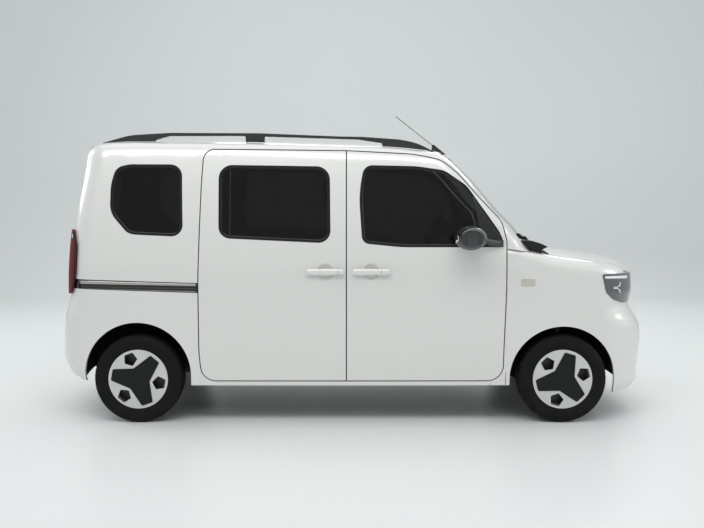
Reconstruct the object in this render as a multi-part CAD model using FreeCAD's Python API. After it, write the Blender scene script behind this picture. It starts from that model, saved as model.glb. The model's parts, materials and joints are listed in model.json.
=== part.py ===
import FreeCAD, Part
import bisect
import math
import os

# Small five-door van of the kei class, standing on its four wheels.
# X points to the front, Y to the left and Z up. The floor is Z = 0, and X = 0 is
# the middle of the overall length. All lengths are in millimetres.

# Driving sizes of the whole car
WHEELBASE = 2360.0
FRONT_OVERHANG = 547.5
REAR_OVERHANG = 487.5
BODY_WIDTH = 1475.0
BODY_HEIGHT = 1592.0
TRACK = 1290.0

# Wheels and tyres
TYRE_DIAMETER = 492.0
TYRE_WIDTH = 145.0
TYRE_SHOULDER = 22.0
BEAD_RADIUS = 152.0
RIM_WIDTH = 122.0
RIM_WALL = 8.0
RIM_FLANGE = 9.0
DISC_THICKNESS = 10.0
HUB_RADIUS = 46.0
AXLE_PIN_RADIUS = 15.0
PIN_CLEARANCE = 0.06
COVER_RADIUS = 165.0
COVER_THICKNESS = 4.0
COVER_DOME = 9.0
BLADE_HEIGHT = 3.0
BLADE_COUNT = 3

# Body panels
DOOR_THICKNESS = 60.0
ROOF_THICKNESS = 30.0
BONNET_THICKNESS = 22.0
FENDER_THICKNESS = 18.0
BUMPER_THICKNESS = 26.0
TAILGATE_THICKNESS = 46.0
GLASS_THICKNESS = 5.0
GLASS_INSET = 4.0
LAMP_DEPTH = 34.0
LAMP_PROUD = 3.0
TAIL_LAMP_PROUD = 13.0
SHUT_GAP = 6.0
SEAT_GAP = 0.3
PANEL_SEAM = 0.3
OVERRUN = 60.0

# Roundings between the body's surfaces
ROOF_EDGE_RADIUS = 55.0
PILLAR_RADIUS = 40.0
REAR_CORNER_RADIUS = 110.0
NOSE_CORNER_RADIUS = 180.0
BONNET_EDGE_RADIUS = 60.0
COWL_EDGE_RADIUS = 12.0
ROOF_CROWN = 50.0
BONNET_CROWN = 24.0
SCREEN_BOW = 130.0
REAR_BOW = 75.0
FRONT_BOW = 135.0
SCREEN_RAKE_SHARE = 0.72

# Heights
SILL_BOTTOM_Z = 213.0
DOOR_BOTTOM_Z = 238.0
DOOR_TOP_Z = 1513.0
FLOOR_TOP_Z = 400.0
FLOOR_THICKNESS = 40.0

# Places along the car that follow the axles
ARCH_RADIUS = 296.0
REAR_ARCH_RISE = 22.0
FRONT_DOOR_WEB = 23.0
REAR_DOOR_WEB = 45.0
PILLAR_SHARE = 0.4907

# Steering
KINGPIN_INSET = 110.0
STEER_PIN_RADIUS = 20.0

# Worked out from the sizes above
LENGTH = REAR_OVERHANG + WHEELBASE + FRONT_OVERHANG
FRONT_END_X = LENGTH / 2
REAR_END_X = -LENGTH / 2
FRONT_AXLE_X = FRONT_END_X - FRONT_OVERHANG
REAR_AXLE_X = REAR_END_X + REAR_OVERHANG
HALF_WIDTH = BODY_WIDTH / 2
WHEEL_Y = TRACK / 2
TYRE_RADIUS = TYRE_DIAMETER / 2
AXLE_Z = TYRE_RADIUS
PILLAR_X = REAR_AXLE_X + PILLAR_SHARE * WHEELBASE
DOOR_FRONT_X = FRONT_AXLE_X - ARCH_RADIUS - FRONT_DOOR_WEB
SLIDE_REAR_X = REAR_AXLE_X + ARCH_RADIUS + REAR_DOOR_WEB

# The body's curves. A place along the car is a station share: -1 is the rear
# end, 0 the rear axle, 1 the front axle and 2 the front end. A height is a
# share of the body's height, and a half width a share of half the width.
ROOF_SHARES = [
    (-0.841, 0.980), (-0.615, 0.986), (-0.451, 0.9937), (-0.119, 1.0),
    (0.070, 0.9994), (0.2725, 0.9962), (0.475, 0.9868), (0.5754, 0.9818),
    (0.6996, 0.9648), (0.7487, 0.9529), (0.894, 0.911)]
SCREEN_SHARES = [
    (0.550, 0.985), (0.600, 0.9619), (0.6363, 0.9415), (0.6765, 0.9203),
    (0.748, 0.8737), (0.8467, 0.8161), (0.9001, 0.7797), (0.9454, 0.7458),
    (0.980, 0.7161), (1.036, 0.661)]
REAR_SHARES = [
    (0.140, -0.79), (0.167, -0.903), (0.208, -0.98), (0.232, -1.0),
    (0.366, -0.98), (0.402, -0.948), (0.447, -0.913), (0.5025, -0.909),
    (0.600, -0.890), (0.694, -0.853), (0.780, -0.804), (0.836, -0.763),
    (0.896, -0.724), (0.9466, -0.7056), (0.9717, -0.693), (1.005, -0.667)]
FRONT_SHARES = [
    (0.086, 1.751), (0.1005, 1.877), (0.143, 1.975), (0.1796, 1.972),
    (0.2217, 1.988), (0.2707, 2.0), (0.3229, 1.994), (0.3555, 1.957),
    (0.388, 1.895), (0.4133, 1.869), (0.461, 1.891), (0.515, 1.884),
    (0.540, 1.862), (0.565, 1.822)]
BONNET_SHARES = [
    (0.894, 0.6187), (0.9335, 0.6074), (0.9814, 0.5936), (1.221, 0.5791),
    (1.3945, 0.5704), (1.5315, 0.5641), (1.714, 0.5553), (1.895, 0.5452),
    (2.04, 0.535)]
SECTION_SHARES = [
    (0.126, 0.979), (0.188, 0.986), (0.314, 0.996), (0.477, 1.0),
    (0.553, 1.0), (0.603, 0.993), (0.691, 0.975), (0.8166, 0.935),
    (0.911, 0.895), (0.950, 0.873), (1.0, 0.842)]
PLAN_SHARES = [
    (-1.0, 0.045), (-0.5, 0.022), (0.0, 0.008), (0.35, 0.0), (0.6, 0.0),
    (0.85, 0.008), (1.0, 0.020), (1.4, 0.048), (2.0, 0.105)]

# Outlines of the doors and windows in the side view. The first number of a
# door point is a share of the door's length from its rear edge, the second a
# share of the shut height. Window points are station and height shares.
FRONT_DOOR_SHARES = [
    (0.0, 0.0), (0.985, 0.0), (0.988, 0.14), (1.0, 0.40), (1.0, 0.61),
    (0.968, 0.70), (0.83, 0.798), (0.70, 0.90), (0.60, 0.958),
    (0.44, 0.984), (0.0, 1.0)]
FRONT_DOOR_CORNERS = [4.0, 115.0, 400.0, 400.0, 60.0, 110.0, 600.0, 190.0, 150.0, 900.0, 4.0]
SLIDING_DOOR_SHARES = [
    (1.0, 0.0), (0.022, 0.0), (0.0, 0.12), (0.0, 0.44), (0.022, 0.86),
    (0.036, 1.006), (1.0, 1.0)]
SLIDING_DOOR_CORNERS = [4.0, 105.0, 900.0, 900.0, 900.0, 62.0, 4.0]
FRONT_WINDOW_SHARES = [
    (0.5275, 0.630), (0.520, 0.800), (0.532, 0.900), (0.655, 0.896),
    (0.720, 0.882), (0.772, 0.829), (0.851, 0.6625), (0.860, 0.6165), (0.62, 0.6165)]
FRONT_WINDOW_CORNERS = [46.0, 700.0, 56.0, 500.0, 120.0, 160.0, 300.0, 22.0, 900.0]
SLIDING_WINDOW_SHARES = [
    (0.193, 0.648), (0.192, 0.901), (0.452, 0.895), (0.454, 0.630)]
SLIDING_WINDOW_CORNERS = [66.0, 76.0, 76.0, 66.0]
QUARTER_WINDOW_SHARES = [
    (-0.075, 0.903), (0.106, 0.902), (0.110, 0.652), (-0.03, 0.660),
    (-0.10, 0.667), (-0.297, 0.735), (-0.292, 0.835), (-0.235, 0.893)]
QUARTER_WINDOW_CORNERS = [120.0, 66.0, 62.0, 300.0, 150.0, 130.0, 300.0, 120.0]

STEP_FOLDER = "parts"


def station(share):
    """Place along the car of a station share."""
    if share < 0:
        return REAR_AXLE_X + share * REAR_OVERHANG
    if share > 1:
        return FRONT_AXLE_X + (share - 1) * FRONT_OVERHANG
    return REAR_AXLE_X + share * WHEELBASE


def level(share):
    """Height of a share of the body's height."""
    return share * BODY_HEIGHT


class Curve:
    """A smooth line through a few points that doesn't overshoot them."""

    def __init__(self, points):
        self.t = [p[0] for p in points]
        self.v = [p[1] for p in points]
        steps = [b - a for a, b in zip(self.t, self.t[1:])]
        slopes = [(b - a) / h for a, b, h in zip(self.v, self.v[1:], steps)]
        self.m = [slopes[0]]
        for s0, s1, h0, h1 in zip(slopes, slopes[1:], steps, steps[1:]):
            if s0 * s1 <= 0:
                self.m.append(0.0)
            else:
                w0 = 2 * h1 + h0
                w1 = h1 + 2 * h0
                self.m.append((w0 + w1) / (w0 / s0 + w1 / s1))
        self.m.append(slopes[-1])

    def __call__(self, t):
        if t <= self.t[0]:
            return self.v[0] + self.m[0] * (t - self.t[0])
        if t >= self.t[-1]:
            return self.v[-1] + self.m[-1] * (t - self.t[-1])
        i = bisect.bisect_right(self.t, t) - 1
        h = self.t[i + 1] - self.t[i]
        s = (t - self.t[i]) / h
        rise = self.v[i + 1] - self.v[i]
        a = self.m[i] * h
        b = self.m[i + 1] * h
        return self.v[i] + s * (a + s * (3 * rise - 2 * a - b + s * (a + b - 2 * rise)))


roof_line = Curve([(station(s), level(z)) for s, z in ROOF_SHARES])
screen_line = Curve([(level(z), station(s)) for z, s in SCREEN_SHARES])
rear_line = Curve([(level(z), station(s)) for z, s in REAR_SHARES])
front_line = Curve([(level(z), station(s)) for z, s in FRONT_SHARES])
bonnet_line = Curve([(station(s), level(z)) for s, z in BONNET_SHARES])
section_line = Curve([(level(z), w) for z, w in SECTION_SHARES])
plan_line = Curve([(station(s), w) for s, w in PLAN_SHARES])
bonnet_radius = Curve([(DOOR_FRONT_X, COWL_EDGE_RADIUS), (FRONT_AXLE_X, BONNET_EDGE_RADIUS),
                       (FRONT_END_X, BONNET_EDGE_RADIUS)])


def half_width(x, z):
    """Half the body's width at a place along it and a height."""
    return HALF_WIDTH * (section_line(z) - plan_line(x))


def rounded_max(a, b, radius):
    """Meet two outward distances in an edge rounded to the radius."""
    if a <= -radius or b <= -radius:
        return max(a, b)
    return math.hypot(a + radius, b + radius) - radius


def cabin(x, y, z):
    """Distance outside the cabin's skin, negative inside."""
    bow = (y / HALF_WIDTH) ** 2
    side = abs(y) - half_width(x, z)
    rear = rear_line(z) + REAR_BOW * bow - x
    roof = z - roof_line(x) + ROOF_CROWN * bow
    screen = (x - screen_line(z) + SCREEN_BOW * bow) * SCREEN_RAKE_SHARE
    skin = rounded_max(side, rear, REAR_CORNER_RADIUS)
    skin = rounded_max(skin, roof, ROOF_EDGE_RADIUS)
    return rounded_max(skin, screen, PILLAR_RADIUS)


def nose(x, y, z):
    """Distance outside the skin of the bonnet, fenders and front end."""
    bow = (y / HALF_WIDTH) ** 2
    side = abs(y) - half_width(x, z)
    front = x - front_line(z) + FRONT_BOW * bow
    top = z - bonnet_line(x) + BONNET_CROWN * bow
    skin = rounded_max(side, front, NOSE_CORNER_RADIUS)
    return rounded_max(skin, top, bonnet_radius(x))


def spread(start, stop, count):
    """Evenly spaced values from start to stop."""
    return [start + (stop - start) * i / (count - 1) for i in range(count)]


def skin_point(shape, depth, origin, direction):
    """Point where a ray from inside meets the skin set in by the depth."""
    near = 0.0
    far = LENGTH
    for _ in range(24):
        reach = (near + far) / 2
        x = origin[0] + reach * direction[0]
        y = origin[1] + reach * direction[1]
        z = origin[2] + reach * direction[2]
        if shape(x, y, z) + depth < 0:
            near = reach
        else:
            far = reach
    return FreeCAD.Vector(x, y, z)


def hoop_rays(stations, angles, centre_z):
    """Rays in planes across the car, their angles up from the right side."""
    return [[((x, 0.0, centre_z), (0.0, -math.cos(a), math.sin(a))) for a in angles]
            for x in stations]


def plan_rays(heights, angles, centre_x, centre_y):
    """Level rays from an upright axis, their angles from straight ahead."""
    return [[((centre_x, centre_y, z), (math.cos(a), math.sin(a), 0.0)) for a in angles]
            for z in heights]


def profile_rays(offsets, angles, centre_x, centre_z):
    """Rays in planes along the car, their angles up from straight ahead."""
    return [[((centre_x, y, centre_z), (math.cos(a), 0.0, math.sin(a))) for a in angles]
            for y in offsets]


def globe_rays(turns, lifts, centre):
    """Rays in all directions from one point, by turn and lift."""
    return [[(centre, (math.cos(u) * math.cos(t), math.cos(u) * math.sin(t), math.sin(u)))
             for u in lifts] for t in turns]


def skin_slab(shape, rays, outer, inner):
    """Closed panel between two depths of a skin, along a grid of rays."""
    faces = []
    for depth in (outer, inner):
        surface = Part.BSplineSurface()
        surface.interpolate([[skin_point(shape, depth, o, d) for o, d in row] for row in rays])
        faces.append(surface)
    top, under = faces
    u0, u1, v0, v1 = top.bounds()
    a0, a1, b0, b1 = under.bounds()
    sides = [(top.uIso(u0), under.uIso(a0)), (top.uIso(u1), under.uIso(a1)),
             (top.vIso(v0), under.vIso(b0)), (top.vIso(v1), under.vIso(b1))]
    shell = [top.toShape(), under.toShape()]
    for one, two in sides:
        shell.append(Part.makeRuledSurface(one.toShape(), two.toShape()))
    body = Part.Shell(shell)
    body.sewShape()
    body = Part.Solid(body)
    if body.Volume < 0:
        body.reverse()
    return body


def rounded_face(points, corners, place):
    """Flat face with the given corner radii, its points placed in space."""
    count = len(points)
    lines = []
    ends = []
    arcs = []
    for i in range(count):
        px, py = points[i]
        ax, ay = points[i - 1]
        bx, by = points[(i + 1) % count]
        la = math.hypot(ax - px, ay - py)
        lb = math.hypot(bx - px, by - py)
        ux, uy = (ax - px) / la, (ay - py) / la
        wx, wy = (bx - px) / lb, (by - py) / lb
        cosine = max(-1.0, min(1.0, ux * wx + uy * wy))
        half = math.acos(cosine) / 2
        reach = min(corners[i] / math.tan(half), 0.49 * la, 0.49 * lb)
        radius = reach * math.tan(half)
        mx, my = ux + wx, uy + wy
        mid = math.hypot(mx, my)
        far = radius / math.sin(half) - radius
        start = (px + ux * reach, py + uy * reach)
        stop = (px + wx * reach, py + wy * reach)
        middle = (px + mx / mid * far, py + my / mid * far)
        arcs.append(Part.Arc(place(*start), place(*middle), place(*stop)).toShape())
        ends.append((start, stop))
    for i in range(count):
        here = ends[i][1]
        there = ends[(i + 1) % count][0]
        lines.append(arcs[i])
        lines.append(Part.LineSegment(place(*here), place(*there)).toShape())
    return Part.Face(Part.Wire(lines))


def side_place(x, z):
    return FreeCAD.Vector(x, 0, z)


def front_place(y, z):
    return FreeCAD.Vector(0, y, z)


def top_place(x, y):
    return FreeCAD.Vector(x, y, 0)


def grown(face, gap):
    """The same face, larger all round by the gap."""
    return face.makeOffset2D(gap, 0, False, False, False)


def through_right(face):
    """A side-view face carried from the middle out through the right side."""
    return face.extrude(FreeCAD.Vector(0, -BODY_WIDTH, 0))


def flat_face(points, place):
    """Plain polygon face."""
    corners = [place(*p) for p in points]
    return Part.Face(Part.makePolygon(corners + corners[:1]))


def box(low, high):
    """Block between two corners."""
    size = [b - a for a, b in zip(low, high)]
    return Part.makeBox(size[0], size[1], size[2], FreeCAD.Vector(*low))


def rod(radius, start, stop):
    """Round bar from one point to another."""
    a = FreeCAD.Vector(*start)
    b = FreeCAD.Vector(*stop)
    return Part.makeCylinder(radius, (b - a).Length, a, b - a)


def mirrored(shape):
    """The same piece on the other side of the car."""
    return shape.mirror(FreeCAD.Vector(0, 0, 0), FreeCAD.Vector(0, 1, 0))


def pair(shape):
    """A piece and its mirror image, as one node of two solids."""
    return Part.Compound([shape, mirrored(shape)])


def largest(shape):
    """The biggest solid that a cut leaves, without its slivers."""
    return max(shape.Solids, key=lambda piece: piece.Volume)


def save(name, shape):
    """Write one node's STEP file and say what it holds."""
    shape.exportStep(os.path.join(STEP_FOLDER, name + ".step"))
    box_size = shape.BoundBox
    print(name, len(shape.Solids), shape.isValid(), round(box_size.XLength),
          round(box_size.YLength), round(box_size.ZLength))


def save_sides(name, shape):
    """Write a right-hand node and its left-hand mirror image."""
    save(name + "_right", shape)
    save(name + "_left", mirrored(shape))


# Outlines shared by the panels

SHUT_HEIGHT = DOOR_TOP_Z - DOOR_BOTTOM_Z
FRONT_DOOR_LENGTH = DOOR_FRONT_X - PILLAR_X
SLIDING_DOOR_LENGTH = PILLAR_X - SLIDE_REAR_X
HALF_GAP = SHUT_GAP / 2


def front_door_face():
    points = [(PILLAR_X + u * FRONT_DOOR_LENGTH, DOOR_BOTTOM_Z + v * SHUT_HEIGHT)
              for u, v in FRONT_DOOR_SHARES]
    return rounded_face(points, FRONT_DOOR_CORNERS, side_place)


def sliding_door_face():
    points = [(SLIDE_REAR_X + u * SLIDING_DOOR_LENGTH, DOOR_BOTTOM_Z + v * SHUT_HEIGHT)
              for u, v in SLIDING_DOOR_SHARES]
    return rounded_face(points, SLIDING_DOOR_CORNERS, side_place)


def window_face(shares, corners):
    points = [(station(u), level(v)) for u, v in shares]
    return rounded_face(points, corners, side_place)


def window_glass(shape, rays, face):
    """Pane that fills a window, set in a little from the skin."""
    pane = skin_slab(shape, rays, GLASS_INSET, GLASS_INSET + GLASS_THICKNESS)
    return pane.common(through_right(grown(face, -SEAT_GAP)))


front_window = window_face(FRONT_WINDOW_SHARES, FRONT_WINDOW_CORNERS)
sliding_window = window_face(SLIDING_WINDOW_SHARES, SLIDING_WINDOW_CORNERS)
quarter_window = window_face(QUARTER_WINDOW_SHARES, QUARTER_WINDOW_CORNERS)

# Lines where the panels meet
ROOF_JOINT_SHARE = 0.76
ROOF_JOINT_Y = ROOF_JOINT_SHARE * HALF_WIDTH
BONNET_SIDE_SHARE = 0.8136
BONNET_SIDE_Y = BONNET_SIDE_SHARE * HALF_WIDTH
TAILGATE_SIDE_SHARE = 0.8136
TAILGATE_SIDE_Y = TAILGATE_SIDE_SHARE * HALF_WIDTH
TAILGATE_TOP_SHARE = -0.555
TAILGATE_TOP_X = station(TAILGATE_TOP_SHARE)
TAILGATE_BOTTOM_SHARE = 0.380
TAILGATE_BOTTOM_Z = level(TAILGATE_BOTTOM_SHARE)
FOOT_LINE_SHARES = [(0.866, 0.6115), (0.894, 0.6052), (0.9335, 0.5939), (0.9814, 0.580), (1.06, 0.574)]
HOOP_CENTRE_SHARE = 0.50
HOOP_CENTRE_Z = level(HOOP_CENTRE_SHARE)
HOOP_LOW = math.radians(-42)
HOOP_HIGH = math.radians(56)
SIDE_HOOPS = 34
SIDE_FRONT_SHARE = 0.985
CAP_GAP = 1.0
SIDE_RAYS = 40

SCREEN_FOOT_SHARE = 0.85
SCREEN_HEAD_SHARE = 0.735
SCREEN_LOW_SHARE = 0.591
SCREEN_HIGH_SHARE = 0.945
SCREEN_CORNERS = [40.0, 60.0, 60.0, 40.0]
SCREEN_START_SHARE = 0.66
SCREEN_START_X = station(SCREEN_START_SHARE)

side_stations = spread(SLIDE_REAR_X - SHUT_GAP, station(SIDE_FRONT_SHARE), SIDE_HOOPS)
side_angles = spread(HOOP_LOW, HOOP_HIGH, SIDE_RAYS)
side_rays = hoop_rays(side_stations, side_angles, HOOP_CENTRE_Z)


def arch_cut(axle_x, rise):
    """Room for a wheel: a round arch with straight sides below its centre."""
    centre = (axle_x, -BODY_WIDTH, AXLE_Z + rise)
    arch = rod(ARCH_RADIUS, centre, (axle_x, 0, AXLE_Z + rise))
    legs = box((axle_x - ARCH_RADIUS, -BODY_WIDTH, -OVERRUN),
               (axle_x + ARCH_RADIUS, 0, AXLE_Z + rise))
    return arch.fuse(legs)


def screen_face(gap):
    """Front-view outline of the windscreen, larger by the gap."""
    points = [(-SCREEN_FOOT_SHARE * HALF_WIDTH, level(SCREEN_LOW_SHARE)),
              (-SCREEN_HEAD_SHARE * HALF_WIDTH, level(SCREEN_HIGH_SHARE)),
              (SCREEN_HEAD_SHARE * HALF_WIDTH, level(SCREEN_HIGH_SHARE)),
              (SCREEN_FOOT_SHARE * HALF_WIDTH, level(SCREEN_LOW_SHARE))]
    return grown(rounded_face(points, SCREEN_CORNERS, front_place), gap)


def screen_prism(gap):
    """The windscreen's outline carried along the front of the cabin."""
    face = screen_face(gap)
    face.translate(FreeCAD.Vector(SCREEN_START_X, 0, 0))
    return face.extrude(FreeCAD.Vector(FRONT_END_X - SCREEN_START_X, 0, 0))


DOOR_LEAN_Z_SHARE = 0.63
DOOR_INNER_LOW_SHARE = 0.895
DOOR_INNER_HIGH_SHARE = 0.78
DOOR_FLANGE = 25.0
DOOR_STEP = 16.0


def door_zone():
    """The room the doors may take up, seen from the front."""
    low_y = DOOR_INNER_LOW_SHARE * HALF_WIDTH
    high_y = DOOR_INNER_HIGH_SHARE * HALF_WIDTH
    face = flat_face([(-BODY_WIDTH, 0.0), (-low_y, 0.0), (-low_y, level(DOOR_LEAN_Z_SHARE)),
                      (-high_y, DOOR_TOP_Z), (-high_y, BODY_HEIGHT), (-BODY_WIDTH, BODY_HEIGHT)],
                     front_place)
    face.translate(FreeCAD.Vector(REAR_END_X, 0, 0))
    return face.extrude(FreeCAD.Vector(LENGTH, 0, 0))


HANDLE_LENGTH = 206.0
HANDLE_HEIGHT = 34.0
HANDLE_THICKNESS = 15.0
HANDLE_PROUD = 27.0
HANDLE_SECTION_SHARES = [(-1.0, 0.50), (-0.96, 0.80), (-0.88, 0.97), (-0.6, 1.0), (0.6, 1.0),
                         (0.88, 0.97), (0.96, 0.80), (1.0, 0.50)]
HANDLE_FOOT_RADIUS = 12.0
HANDLE_FOOT_INSET = 20.0
CUP_RADIUS = 46.0
CUP_DEPTH = 18.0
HANDLE_Z_SHARE = 0.532
FRONT_HANDLE_SHARE = 0.5485
SLIDING_HANDLE_SHARE = 0.4411


def with_handle(door, share):
    """The door with a round finger cup sunk in it and a bar across the cup."""
    x = station(share)
    z = level(HANDLE_Z_SHARE)
    skin_y = skin_point(cabin, 0.0, (x, 0.0, z), (0.0, -1.0, 0.0)).y
    ball_radius = (CUP_RADIUS ** 2 + CUP_DEPTH ** 2) / (2 * CUP_DEPTH)
    ball = Part.makeSphere(ball_radius, FreeCAD.Vector(x, skin_y + CUP_DEPTH - ball_radius, z))
    bar_y = skin_y - HANDLE_PROUD + HANDLE_THICKNESS / 2
    half = HANDLE_LENGTH / 2
    rings = []
    for reach_share, size in HANDLE_SECTION_SHARES:
        middle = FreeCAD.Vector(x + reach_share * half, bar_y, z)
        ring = Part.Ellipse(middle, size * HANDLE_HEIGHT / 2, size * HANDLE_THICKNESS / 2).toShape()
        ring.rotate(middle, FreeCAD.Vector(0, 1, 0), 90)
        rings.append(Part.Wire(ring))
    bar = Part.makeLoft(rings, True, True)
    for side in (-1, 1):
        foot_x = x + side * (half - HANDLE_FOOT_INSET)
        bar = bar.fuse(rod(HANDLE_FOOT_RADIUS, (foot_x, bar_y, z), (foot_x, skin_y + CUP_DEPTH, z)))
    return door.cut(ball).fuse(bar)


def build_doors():
    """Front doors that swing and rear doors that slide, with their panes."""
    side_shell = skin_slab(cabin, side_rays, 0.0, DOOR_THICKNESS)
    front = side_shell.common(through_right(grown(front_door_face(), -HALF_GAP)))
    front = front.common(door_zone())
    front = front.cut(through_right(front_window))
    edge_x = PILLAR_X + HALF_GAP
    inside = skin_slab(cabin, hoop_rays(spread(edge_x - DOOR_STEP, edge_x + 2 * DOOR_STEP, 4),
                                        side_angles, HOOP_CENTRE_Z),
                       DOOR_FLANGE, 2 * DOOR_THICKNESS)
    step = box((edge_x - HALF_GAP, -BODY_WIDTH, 0), (edge_x + DOOR_STEP, 0, BODY_HEIGHT))
    front = front.cut(inside.common(step))
    save_sides("front_door", with_handle(front, FRONT_HANDLE_SHARE))
    pane = window_glass(cabin, side_rays, front_window).common(door_zone())
    save_sides("front_door_glass", pane)
    rear = side_shell.common(through_right(grown(sliding_door_face(), -HALF_GAP)))
    rear = rear.common(door_zone())
    rear = rear.cut(through_right(sliding_window))
    save_sides("sliding_door", with_handle(rear, SLIDING_HANDLE_SHARE))
    save("sliding_door_glass", pair(window_glass(cabin, side_rays, sliding_window)))


LINER_GAP = 18.0
LINER_WALL = 6.0
POST_WIDTH = 70.0
POST_DEPTH = 30.0
SILL_INNER_SHARE = 0.80
SILL_INNER_Y = SILL_INNER_SHARE * HALF_WIDTH
SILL_OUTER_Y = HALF_WIDTH - DOOR_THICKNESS
HINGE_POST_LENGTH = 50.0
HINGE_POST_GAP = 9.0
HINGE_POST_DEPTH = 45.0
FENDER_UNDER_SHARE = 0.565
POST_LAP = 24.0
QUARTER_LAP = 80.0


def build_side_frame():
    """Sill, cant rail, windscreen pillar and hinge post, and the centre post."""
    rear_x = SLIDE_REAR_X + QUARTER_LAP
    front_x = station(SIDE_FRONT_SHARE)
    high = BODY_HEIGHT + OVERRUN
    foot = [(station(s), level(z)) for s, z in FOOT_LINE_SHARES]
    outline = flat_face([(rear_x, SILL_BOTTOM_Z), (foot[0][0], SILL_BOTTOM_Z)] + foot
                        + [(front_x, high), (rear_x, high)], side_place)
    doors = grown(front_door_face(), HALF_GAP).fuse(grown(sliding_door_face(), HALF_GAP))
    ring = outline.cut(doors).Faces
    rays = hoop_rays(spread(rear_x - SHUT_GAP, front_x, SIDE_HOOPS), side_angles, HOOP_CENTRE_Z)
    shell = skin_slab(cabin, rays, 0.0, DOOR_THICKNESS)
    shell = shell.cut(screen_prism(SEAT_GAP))
    shell = shell.cut(box((REAR_END_X, -ROOF_JOINT_Y, HOOP_CENTRE_Z), (SCREEN_START_X, 0, high)))
    shell = shell.cut(box((SCREEN_START_X, -ROOF_JOINT_Y, level(SCREEN_HIGH_SHARE)),
                          (FRONT_END_X, 0, high)))
    pieces = [largest(shell.common(through_right(f))) for f in ring]
    pieces.sort(key=lambda piece: piece.BoundBox.ZMin)
    lower, upper = pieces
    sill_top = DOOR_BOTTOM_Z - HALF_GAP
    sill = box((rear_x, -SILL_OUTER_Y - SHUT_GAP, SILL_BOTTOM_Z),
               (DOOR_FRONT_X + HINGE_POST_GAP, -SILL_INNER_Y, sill_top))
    post_x = DOOR_FRONT_X - HINGE_POST_LENGTH
    post_top = foot[0][1] + POST_LAP
    rays = hoop_rays(spread(post_x - OVERRUN, DOOR_FRONT_X + OVERRUN, 5), side_angles,
                     HOOP_CENTRE_Z)
    deep = DOOR_THICKNESS + HINGE_POST_GAP + HINGE_POST_DEPTH
    post = skin_slab(cabin, rays, DOOR_THICKNESS + HINGE_POST_GAP, deep)
    post = post.common(box((post_x, -BODY_WIDTH, sill_top - HALF_GAP),
                           (DOOR_FRONT_X + 2 * SHUT_GAP, -SILL_INNER_Y, post_top)))
    post = post.cut(box((foot[0][0], -BODY_WIDTH, level(FENDER_UNDER_SHARE)),
                        (FRONT_END_X, 0, high)))
    lower = lower.fuse(sill).fuse(post)
    well = rod(ARCH_RADIUS + LINER_GAP + LINER_WALL + SEAT_GAP,
               (FRONT_AXLE_X, -BODY_WIDTH, AXLE_Z), (FRONT_AXLE_X, 0, AXLE_Z))
    save_sides("side_frame", Part.Compound([upper, lower.cut(well)]))
    centre = skin_slab(cabin, hoop_rays(spread(PILLAR_X - POST_WIDTH, PILLAR_X + POST_WIDTH, 5),
                                        side_angles, HOOP_CENTRE_Z),
                       DOOR_THICKNESS + SEAT_GAP, DOOR_THICKNESS + SEAT_GAP + POST_DEPTH)
    centre = centre.common(box((REAR_END_X, -HALF_WIDTH, sill_top),
                               (FRONT_END_X, -ROOF_JOINT_Y + DOOR_THICKNESS, DOOR_TOP_Z)))
    save_sides("centre_post", centre)


QUARTER_TURNS = 36
QUARTER_LIFTS = 40
QUARTER_CENTRE_SHARES = (0.06, -0.12, 0.46)
QUARTER_CENTRE = (station(QUARTER_CENTRE_SHARES[0]), QUARTER_CENTRE_SHARES[1] * HALF_WIDTH,
                  level(QUARTER_CENTRE_SHARES[2]))
PANE_REAR_SHARE = -0.42
PANE_FRONT_SHARE = 0.16
LAMP_EDGE_SHARES = [(-0.728, 0.676), (-0.674, 0.620), (-0.690, 0.525), (-0.735, 0.466),
                    (-0.762, 0.4525)]
LAMP_EDGE_CORNERS = [6.0, 60.0, 60.0, 40.0, 6.0, 1.0, 1.0]
REAR_SEAM_SHARES = [(-0.9, 0.4475), (-0.728, 0.4425), (-0.20, 0.318)]


def tail_lamp_face():
    """Side-view outline of the lamp, from its front edge out past the rear."""
    edge = [(station(u), level(v)) for u, v in LAMP_EDGE_SHARES]
    back_x = REAR_END_X - OVERRUN
    points = edge + [(back_x, edge[-1][1]), (back_x, edge[0][1])]
    return rounded_face(points, LAMP_EDGE_CORNERS, side_place)


def rear_bumper_face():
    """Side-view outline below the seam of the rear bumper."""
    seam = [(station(u), level(v)) for u, v in REAR_SEAM_SHARES]
    back_x = REAR_END_X - OVERRUN
    points = [(back_x, seam[0][1])] + seam + [(seam[-1][0], 0.0), (back_x, 0.0)]
    return flat_face(points, side_place)


TRACK_SHARES = [(-0.76, 0.506), (0.16, 0.4925), (0.16, 0.4575), (-0.76, 0.4725)]
TRACK_DEPTH = 14.0
TRACK_PROUD = 1.5
TRACK_WALL = 4.0
TRACK_SLOT_SHARES = [(-0.66, 0.4872), (0.16, 0.4795), (0.16, 0.4655), (-0.66, 0.4745)]


def band_face(shares):
    """Straight-sided side-view face from station and height shares."""
    return flat_face([(station(u), level(v)) for u, v in shares], side_place)


def track_slab(outer, inner):
    """The layer of the rear side that holds the sliding door's track."""
    rays = hoop_rays(spread(station(TRACK_SHARES[0][0]), station(TRACK_SHARES[1][0]), SIDE_HOOPS),
                     [math.radians(a) for a in spread(-10, 5, 8)], HOOP_CENTRE_Z)
    return skin_slab(cabin, rays, outer, inner)


def build_tracks():
    """Tracks that the sliding doors' rear rollers run in, let into the sides."""
    behind_door = grown(sliding_door_face(), HALF_GAP)
    track = track_slab(TRACK_PROUD, TRACK_DEPTH - SEAT_GAP)
    track = track.common(through_right(grown(band_face(TRACK_SHARES), -SEAT_GAP)))
    track = track.cut(through_right(behind_door)).cut(through_right(tail_lamp_face()))
    slot = track_slab(-TRACK_PROUD, TRACK_DEPTH - TRACK_WALL)
    slot = slot.common(through_right(band_face(TRACK_SLOT_SHARES)))
    save("slide_tracks", pair(largest(track.cut(slot))))


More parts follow.
